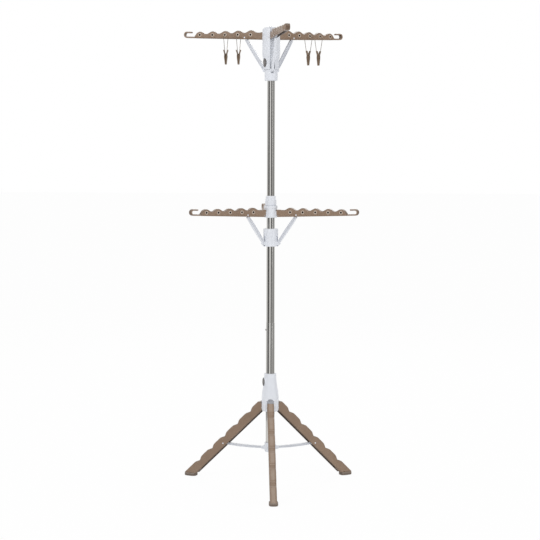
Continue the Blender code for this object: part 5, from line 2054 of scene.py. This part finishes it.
    def build(self, maker: Maker, arm: Arm, tier: TierPlace) -> None:
        """Makes the clip in its arm's hole.

        Args:
            maker: Puts it into the scene.
            arm: Holds the clip.
            tier: Where the arm hinges.
        """
        place = self.place(arm, tier)
        hinge = place @ Matrix.Translation((0, 0, -self.drop))
        back = hinge @ Matrix.Rotation(math.pi, 4, "Z")
        name = f"clip_{self.number}"
        inner, outer = self.jaw().placed(back), self.jaw().placed(hinge)
        maker.piece(f"{name}_wire_bail", self.bail().placed(place), WIRE, name, (f"{name}_bail",))
        maker.piece(f"{name}_spring", self.spring().placed(hinge), WIRE, name)
        maker.piece(f"{name}_inner_grip", inner, CLIP_BROWN, name, (f"{name}_inner_jaw",))
        maker.piece(f"{name}_outer_grip", outer, CLIP_BROWN, f"{name}_jaw", (f"{name}_outer_jaw",))


@dataclass(frozen=True)
class Lamp:
    """A soft oblong lamp that looks at the middle of the rack."""

    name: str
    place: tuple[float, float, float]
    size: tuple[float, float]
    power: float

    def build(self, target: tuple[float, float, float]) -> None:
        """Makes the lamp, turned to a target.

        Args:
            target: The point that it looks at.
        """
        data = bpy.data.lights.new(self.name, "AREA")
        data.shape, data.size, data.size_y = "RECTANGLE", *self.size
        data.energy = self.power
        lamp = in_scene(self.name, data)
        lamp.location = self.place
        aim = Vector(target) - Vector(self.place)
        lamp.rotation_euler = aim.to_track_quat("-Z", "Y").to_euler()


@dataclass(frozen=True)
class Card:
    """A tall card out of view, curved about the rack, that only the gloss sees.

    It runs between two azimuths in degrees, and its grey is a linear share of white.
    """

    name: str
    start: float
    end: float
    grey: float
    radius: float = 0.85
    low: float = 0.002
    high: float = 1.9

    def build(self) -> None:
        """Makes the card: points at one radius, by azimuth and height."""
        turns = np.radians(np.linspace(self.start, self.end, 13))
        turn, height = np.meshgrid(turns, np.linspace(self.low, self.high, 5))
        sheet = np.stack([self.radius * np.cos(turn), self.radius * np.sin(turn), height], axis=-1)
        mesh = mesh_of(self.name, grid(sheet))
        card = in_scene(self.name, mesh)
        made = bpy.data.materials.new(self.name)
        made.use_nodes = True
        nodes = made.node_tree.nodes
        glow = nodes.new("ShaderNodeEmission")
        glow.inputs["Color"].default_value = (self.grey, self.grey, self.grey, 1)
        made.node_tree.links.new(glow.outputs[0], nodes["Material Output"].inputs["Surface"])
        mesh.materials.append(made)
        card.visible_camera = card.visible_diffuse = card.visible_shadow = False


@dataclass
class Studio:
    """White floor and surround, soft lamps, cards for the steel, and the camera."""

    camera_place: tuple[float, float, float] = (-0.00195, -5.4436, 1.19685)
    camera_down: float = 4.714
    camera_roll: float = 0.17
    lens: float = 105.8
    sensor: float = 36.0
    floor_half: float = 30.0
    floor_z: float = -0.4 * MM
    floor_white: float = 0.96
    world_light: float = 0.62
    target: tuple[float, float, float] = (0, 0, 0.8)
    lamps: tuple[Lamp, ...] = (
        Lamp("key", (-2.6, -3.4, 3.2), (2.4, 2.4), 60),
        Lamp("fill", (3.2, -2.6, 1.8), (2.0, 2.6), 30),
        Lamp("back", (0.6, 3.4, 3.0), (2.6, 1.6), 30),
    )
    cards: tuple[Card, ...] = (
        Card("left edge card", -215, -167, 0.6),
        Card("left dark card", -166, -134, 0.01),
        Card("left grey card", -130, -113, 0.36),
        Card("middle dark card", -86, -61, 0.01),
        Card("right grey card", -58, -38, 0.5),
        Card("right edge card", -37, 32, 0.36),
    )

    def floor(self) -> None:
        """A wide flat sheet that shows white to the camera and keeps a faint shadow."""
        line = np.linspace(-self.floor_half, self.floor_half, 9)
        across, along = np.meshgrid(line, line)
        sheet = grid(np.stack([across, along, np.full_like(across, self.floor_z)], axis=-1))
        mesh = mesh_of("floor", sheet)
        floor = in_scene("floor", mesh)
        made = bpy.data.materials.new("floor white")
        made.use_nodes = True
        nodes, link = made.node_tree.nodes, made.node_tree.links.new
        shader = nodes["Principled BSDF"]
        shader.inputs["Base Color"].default_value = linear((250, 250, 250))
        shader.inputs["Roughness"].default_value = 0.9
        shader.inputs["Specular IOR Level"].default_value = 0.1
        glow = nodes.new("ShaderNodeEmission")
        mix = nodes.new("ShaderNodeMixShader")
        share = nodes.new("ShaderNodeMath")
        share.operation = "MULTIPLY"
        share.inputs[1].default_value = self.floor_white
        link(self._seen(made.node_tree), share.inputs[0])
        link(share.outputs[0], mix.inputs["Fac"])
        link(shader.outputs[0], mix.inputs[1])
        link(glow.outputs[0], mix.inputs[2])
        link(mix.outputs[0], nodes["Material Output"].inputs["Surface"])
        mesh.materials.append(made)

    @staticmethod
    def _seen(tree: bpy.types.NodeTree) -> bpy.types.NodeSocket:
        """1 for the camera's rays and for those that gloss or glass sends on.

        Args:
            tree: The floor's or the world's nodes.

        Returns:
            The value.
        """
        path = tree.nodes.new("ShaderNodeLightPath")
        last = path.outputs["Is Camera Ray"]
        for label in ("Is Glossy Ray", "Is Transmission Ray"):
            both = tree.nodes.new("ShaderNodeMath")
            both.operation = "MAXIMUM"
            tree.links.new(last, both.inputs[0])
            tree.links.new(path.outputs[label], both.inputs[1])
            last = both.outputs[0]
        return last

    def surround(self) -> None:
        """A world that is white where it is seen and an even grey where it lights."""
        world = bpy.data.worlds.new("surround")
        bpy.context.scene.world = world
        world.use_nodes = True
        nodes, link = world.node_tree.nodes, world.node_tree.links.new
        back = nodes["Background"]
        strength = nodes.new("ShaderNodeMapRange")
        strength.inputs["To Min"].default_value = self.world_light
        strength.inputs["To Max"].default_value = 1.0
        link(self._seen(world.node_tree), strength.inputs["Value"])
        link(strength.outputs["Result"], back.inputs["Strength"])
        back.inputs["Color"].default_value = (1, 1, 1, 1)

    def camera(self) -> None:
        """The camera at the photograph's height and distance."""
        data = bpy.data.cameras.new("view")
        data.lens, data.sensor_width, data.sensor_fit = self.lens, self.sensor, "HORIZONTAL"
        camera = in_scene("view", data)
        pitch = Matrix.Rotation(math.radians(90 - self.camera_down), 4, "X")
        roll = Matrix.Rotation(math.radians(self.camera_roll), 4, "Z")
        camera.matrix_world = Matrix.Translation(self.camera_place) @ pitch @ roll
        bpy.context.scene.camera = camera

    def build(self) -> None:
        """Makes the whole studio."""
        self.floor()
        self.surround()
        for lamp in self.lamps:
            lamp.build(self.target)
        for card in self.cards:
            card.build()
        self.camera()
        bpy.context.scene.view_settings.view_transform = "Standard"


def main() -> None:
    """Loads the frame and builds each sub-assembly in order."""
    logging.basicConfig(level=logging.INFO, format="%(name)s: %(message)s")
    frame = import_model()
    maker = Maker(frame)
    spreader = Spreader()
    for station in (Pole(), BaseHub(), spreader, MiddleStation(), Head()):
        station.build(maker)
    arm, leg, props = Arm(), Leg(), Props()
    for tier in Tier:
        arm.build(maker, tier.value)
        props.struts(maker, arm, tier.value)
    leg.build(maker)
    props.braces(maker, leg, spreader.ears)
    clip_places = (("left", 2), ("left", 1), ("right", 2), ("right", 3))
    for number, (side, crest) in enumerate(clip_places, 1):
        Clip(number, side, crest).build(maker, arm, Tier.TOP.value)
    Studio().build()
    LOG.info("%d pieces made", len(maker.made))


if __name__ == "__main__":
    main()
